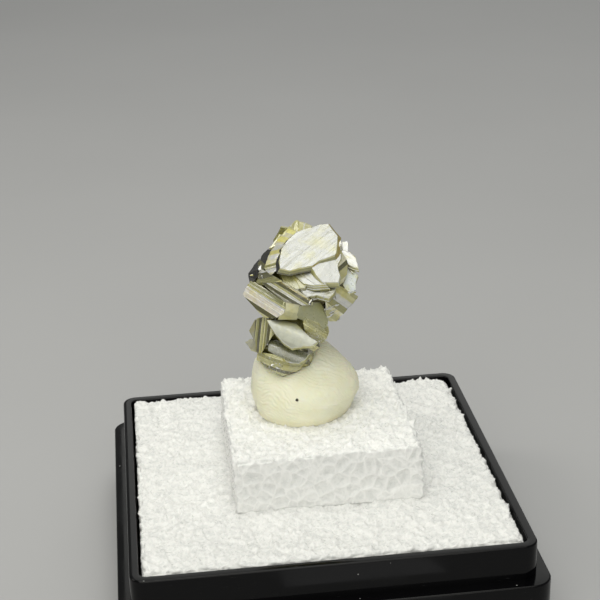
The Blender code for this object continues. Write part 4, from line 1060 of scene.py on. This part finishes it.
druse = Growth("small_crystals", Per_square_metre=1.4e7, Smallest=0.06 * MM, Largest=0.2 * MM, Seed=4)
given = druse.given
scatter = druse.add("GeometryNodeDistributePointsOnFaces",
                    {"Mesh": given, "Seed": given["Seed"],
                     "Density": druse.noted("crowd") * given["Per square metre"]})
slab = druse.add("GeometryNodeMeshCube", {"Size": SLAB_SHAPE})
turn = druse.add("FunctionNodeRandomValue", {0: (0.0, 0.0, 0.0), 1: (math.tau,) * 3, "Seed": 7},
                 data_type="FLOAT_VECTOR")
large = druse.add("FunctionNodeRandomValue", {2: given["Smallest"], 3: given["Largest"], "Seed": 9},
                  data_type="FLOAT")[1]
stood = druse.add("GeometryNodeInstanceOnPoints",
                  {"Points": scatter, "Instance": slab, "Rotation": turn, "Scale": large})
druse.run(stood, (bed, olive, {}))

# %% [markdown]
# Slivers are the largest of the small crystals: thin pointed plates, side by side, standing where
# two large crystals meet. They flash white. A ray along the line of sight finds the surface that
# each one stands on. Every small crystal gets one colour over all its faces: most are pale.

# %% Slivers, and the colours of the small crystals
SLIVER_PLACES = (  # colour, middle u and v, length, width, direction, lean back in degrees
    ("white", 2.2, -0.62, 0.85, 0.17, 24, 32), ("white", 2.45, -0.9, 0.8, 0.15, 28, 32),
    ("white", 2.3, -1.2, 0.7, 0.16, 32, 32), ("white", 1.75, -0.45, 0.5, 0.14, 14, 32),
    ("white", 2.75, -0.4, 0.45, 0.13, 5, 32), ("white", 1.2, 0.1, 0.5, 0.14, 20, 32),
    ("cream", 0.8, -0.1, 0.4, 0.12, 55, 24), ("white", -2.1, -5.0, 0.36, 0.16, 30, 32),
    ("white", -1.75, -5.25, 0.3, 0.13, -35, 32), ("moss", -2.35, -5.15, 0.3, 0.16, 70, 10),
    ("white", -3.05, 2.5, 0.6, 0.26, 60, 32), ("cream", 3.05, 4.3, 0.6, 0.2, 70, 24),
    ("cream", -2.0, 4.2, 0.95, 0.15, 28, 32), ("lemon", -3.7, 1.95, 0.4, 0.1, 8, 4),
    ("lemon", -1.2, 5.15, 0.6, 0.16, 52, 4), ("white", 3.9, 2.3, 0.8, 0.14, -55, 32),
    ("cream", 3.4, 1.5, 0.6, 0.14, 75, 24),
)
SLIVER_SHAPE = ((-0.5, -0.1), (-0.3, -0.5), (0.2, -0.45), (0.6, 0.15), (0.1, 0.5), (-0.35, 0.4))
HALF_THICKNESS, ABOVE_ALL, FACES_EACH = 0.045, 12.0, 6
MOSTLY_PALE = ("white", "white", "white", "cream", "straw", "khaki", "moss")

bm = bmesh.new()
bm.from_mesh(bed.data)
pick = random.Random(21)
shades = []
for _ in range(len(bm.faces) // FACES_EACH):
    shades += [tone(pick.choice(MOSTLY_PALE))] * FACES_EACH
for colour, u, v, length, width, direction, lean in SLIVER_PLACES:
    found, place, _, _ = cluster.ray_cast(to_box @ Vector((u, v, ABOVE_ALL)) * MM, ahead)
    assert found, (colour, u, v)
    stand = (Matrix.Translation(place) @ view_axes @ Matrix.Rotation(math.radians(-lean), 4, "X")
             @ Matrix.Rotation(math.radians(direction), 4, "Z") @ Matrix.Diagonal((MM, MM, MM, 1.0)))
    faces = lofted(bm, [[stand @ Vector((a * length, b * width, depth)) for a, b in SLIVER_SHAPE]
                        for depth in (HALF_THICKNESS, -HALF_THICKNESS)])
    shades += [tone(colour, 0.05)] * len(faces)
bm.to_mesh(bed.data)
bm.free()
for name in ("tint", "growth"):
    if bed.data.attributes.get(name):
        bed.data.attributes.remove(bed.data.attributes[name])
store(bed.data, "tint", "FLOAT_COLOR", "FACE", shades)
hand_over(bed, olive)

# %% [markdown]
# ## The putty
# Putty is dense and waxy: cream all through, with light bleeding a fraction of a millimetre under
# its skin and an oily half-gloss. Towards the foot it is a little darker and yellower, and the slope
# on the right has a faint flesh tone.

# %% Putty finish
PUTTY_CREAM, PUTTY_PALE = (0.90, 0.885, 0.66, 1), (0.93, 0.92, 0.73, 1)
# The first colour here makes the putty darker and yellower towards its foot.
FOOT_DARKER_YELLOW, FLESH = (0.80, 0.74, 0.50, 1), (0.92, 0.80, 0.60, 1)
cream = Finish("cream_putty", Subsurface_Weight=0.35, Subsurface_Scale=0.6 * MM,
               Subsurface_Radius=(1.0, 0.8, 0.45), IOR=1.48)
cloud = cream.noise(cream.place, 0.5, 4.0)
at = cream.parts(cream.place)
body = cream.mix(cream.ramp(cloud, 0.35, 0.65), PUTTY_CREAM, PUTTY_PALE)
foot = cream.ramp(at[2], pedestal_top + 0.1, pedestal_top + 0.9, 0.55, 0.0)
flesh = cream.ramp(at, 1.5, 4.0) * cream.ramp(cloud, 0.45, 0.6, 0.0, 0.5)
body = cream.mix(flesh, cream.mix(foot, body, FOOT_DARKER_YELLOW), FLESH)
cream.drive(Base_Color=body, Roughness=cream.ramp(cloud, 0.35, 0.65, 0.40, 0.58),
            Normal=cream.bump(cream.noise(cream.place, 9.0, 3.0), 0.3, 0.02))

# %% [markdown]
# A dab of mounting putty was rolled, set on the foam and pressed round the cluster's root, so it
# has a rounded lump's shape, a print of the root, and finger ridges all over. The lump is the hull
# of its solid, remeshed into an even skin. Geometry Nodes raise the ridges: bands of a wave about a
# quarter of a millimetre apart, bent by a noise so that they run in curls as skin prints do, and
# faded in patches where the putty was smoothed. A slow noise underneath leaves the hollows that
# fingertips pressed.

# %% The lump and its finger ridges
NEAR_BOTTOM, RIDGE_DIRECTION = 0.05, (0.45, 0.25, 1.0)
BENDS = ((0.12, 0.3, 7.0), (0.42, 1.0, 1.5))  # a noise's scale and detail, and how far it bends a ridge
PUTTY_VOXEL, PUTTY_SINK, SMOOTHINGS = 0.064, 0.12, 24
solid = frame["nodes"]["mounting_putty"].data
bm = hull(sorted({tuple(round(part / MM, 4) for part in vert.co) for vert in solid.vertices}))
bottom = min(vert.co.z for vert in bm.verts)
for vert in bm.verts:
    if vert.co.z < bottom + NEAR_BOTTOM:
        vert.co.z = pedestal_top - PUTTY_SINK
bmesh.ops.recalc_face_normals(bm, faces=bm.faces)
putty = mesh_object(bm, "putty")
modify(putty, "REMESH", mode="VOXEL", voxel_size=PUTTY_VOXEL * MM)
modify(putty, "SMOOTH", factor=0.5, iterations=SMOOTHINGS)
made_real(putty)

ridges = Growth("finger_ridges", Ridge_spacing=0.28 * MM, Ridge_height=0.026 * MM, Hollow=0.16 * MM)
place = ridges.places("Ridge spacing")
bent = place
for scale, detail, reach in BENDS:
    bend = ridges.vector("SCALE", ridges.noise(place, scale, detail)["Color"], reach)
    bent = ridges.vector("ADD", bent, bend)
wave = ridges.vector("DOT_PRODUCT", bent, RIDGE_DIRECTION)["Value"] * math.tau
faded = ridges.ramp(ridges.noise(place, 0.22, 2.0), 0.25, 0.5)
broken = ridges.ramp(ridges.noise(place, 0.9, 2.0), 0.36, 0.62, 0.1, 1.3)
raised = wave.math("SINE") * faded * broken * ridges.given["Ridge height"]
hollow = (ridges.noise(place, 0.13, 1.0) - 0.5) * ridges.given["Hollow"]
ridges.run(ridges.push_out(raised + hollow), (putty, cream, {}))

# %% [markdown]
# Last, the crystals themselves cut their print, a hair larger than they are.

# %% The print of the cluster's root
PRINT_GAP = 0.02
root = new_object("root", cluster.data.copy())
modify(root, "DISPLACE", strength=PRINT_GAP * MM, mid_level=0.0)
modify(putty, "BOOLEAN", operation="DIFFERENCE", solver="MANIFOLD", object=root)
made_real(putty)
bpy.data.objects.remove(root)
keep_largest_body(putty)
putty.data.shade_smooth()
hand_over(putty, cream, "mounting_putty")

# %% [markdown]
# One dark grain of grit is stuck in the front of the putty. A ray from the camera finds the place
# on the putty's skin, and the grain sits half sunk there.

# %% The grain of grit
GRIT_SIZE, SEEN_AT = 0.13, (-0.235, -7.84, 0.0)
GRIT_DARK, GRIT_BROWN = (0.012, 0.010, 0.006, 1), (0.06, 0.05, 0.03, 1)
start = camera.matrix_world.translation
found, spot, _, _ = putty.ray_cast(start, (to_box @ Vector(SEEN_AT) * MM - start).normalized())
assert found
bm = bmesh.new()
bmesh.ops.create_icosphere(bm, subdivisions=2, radius=GRIT_SIZE)
shake = random.Random(8)
for vert in bm.verts:
    vert.co = vert.co * shake.uniform(0.8, 1.1) + spot / MM
dark = Finish("dark_grit", Roughness=0.5)
speckle = dark.noise(dark.place, 12.0, 2.0)
dark.drive(Base_Color=dark.mix(speckle, GRIT_DARK, GRIT_BROWN))
grit = mesh_object(bm, "grit")
hand_over(grit, dark)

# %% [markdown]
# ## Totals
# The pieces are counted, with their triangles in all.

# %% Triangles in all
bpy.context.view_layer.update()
pieces = (base_moulding, liner, pedestal, putty, cluster, bed, grit)
print(len(pieces), "pieces,", sum(map(triangles, pieces)), "triangles in all")
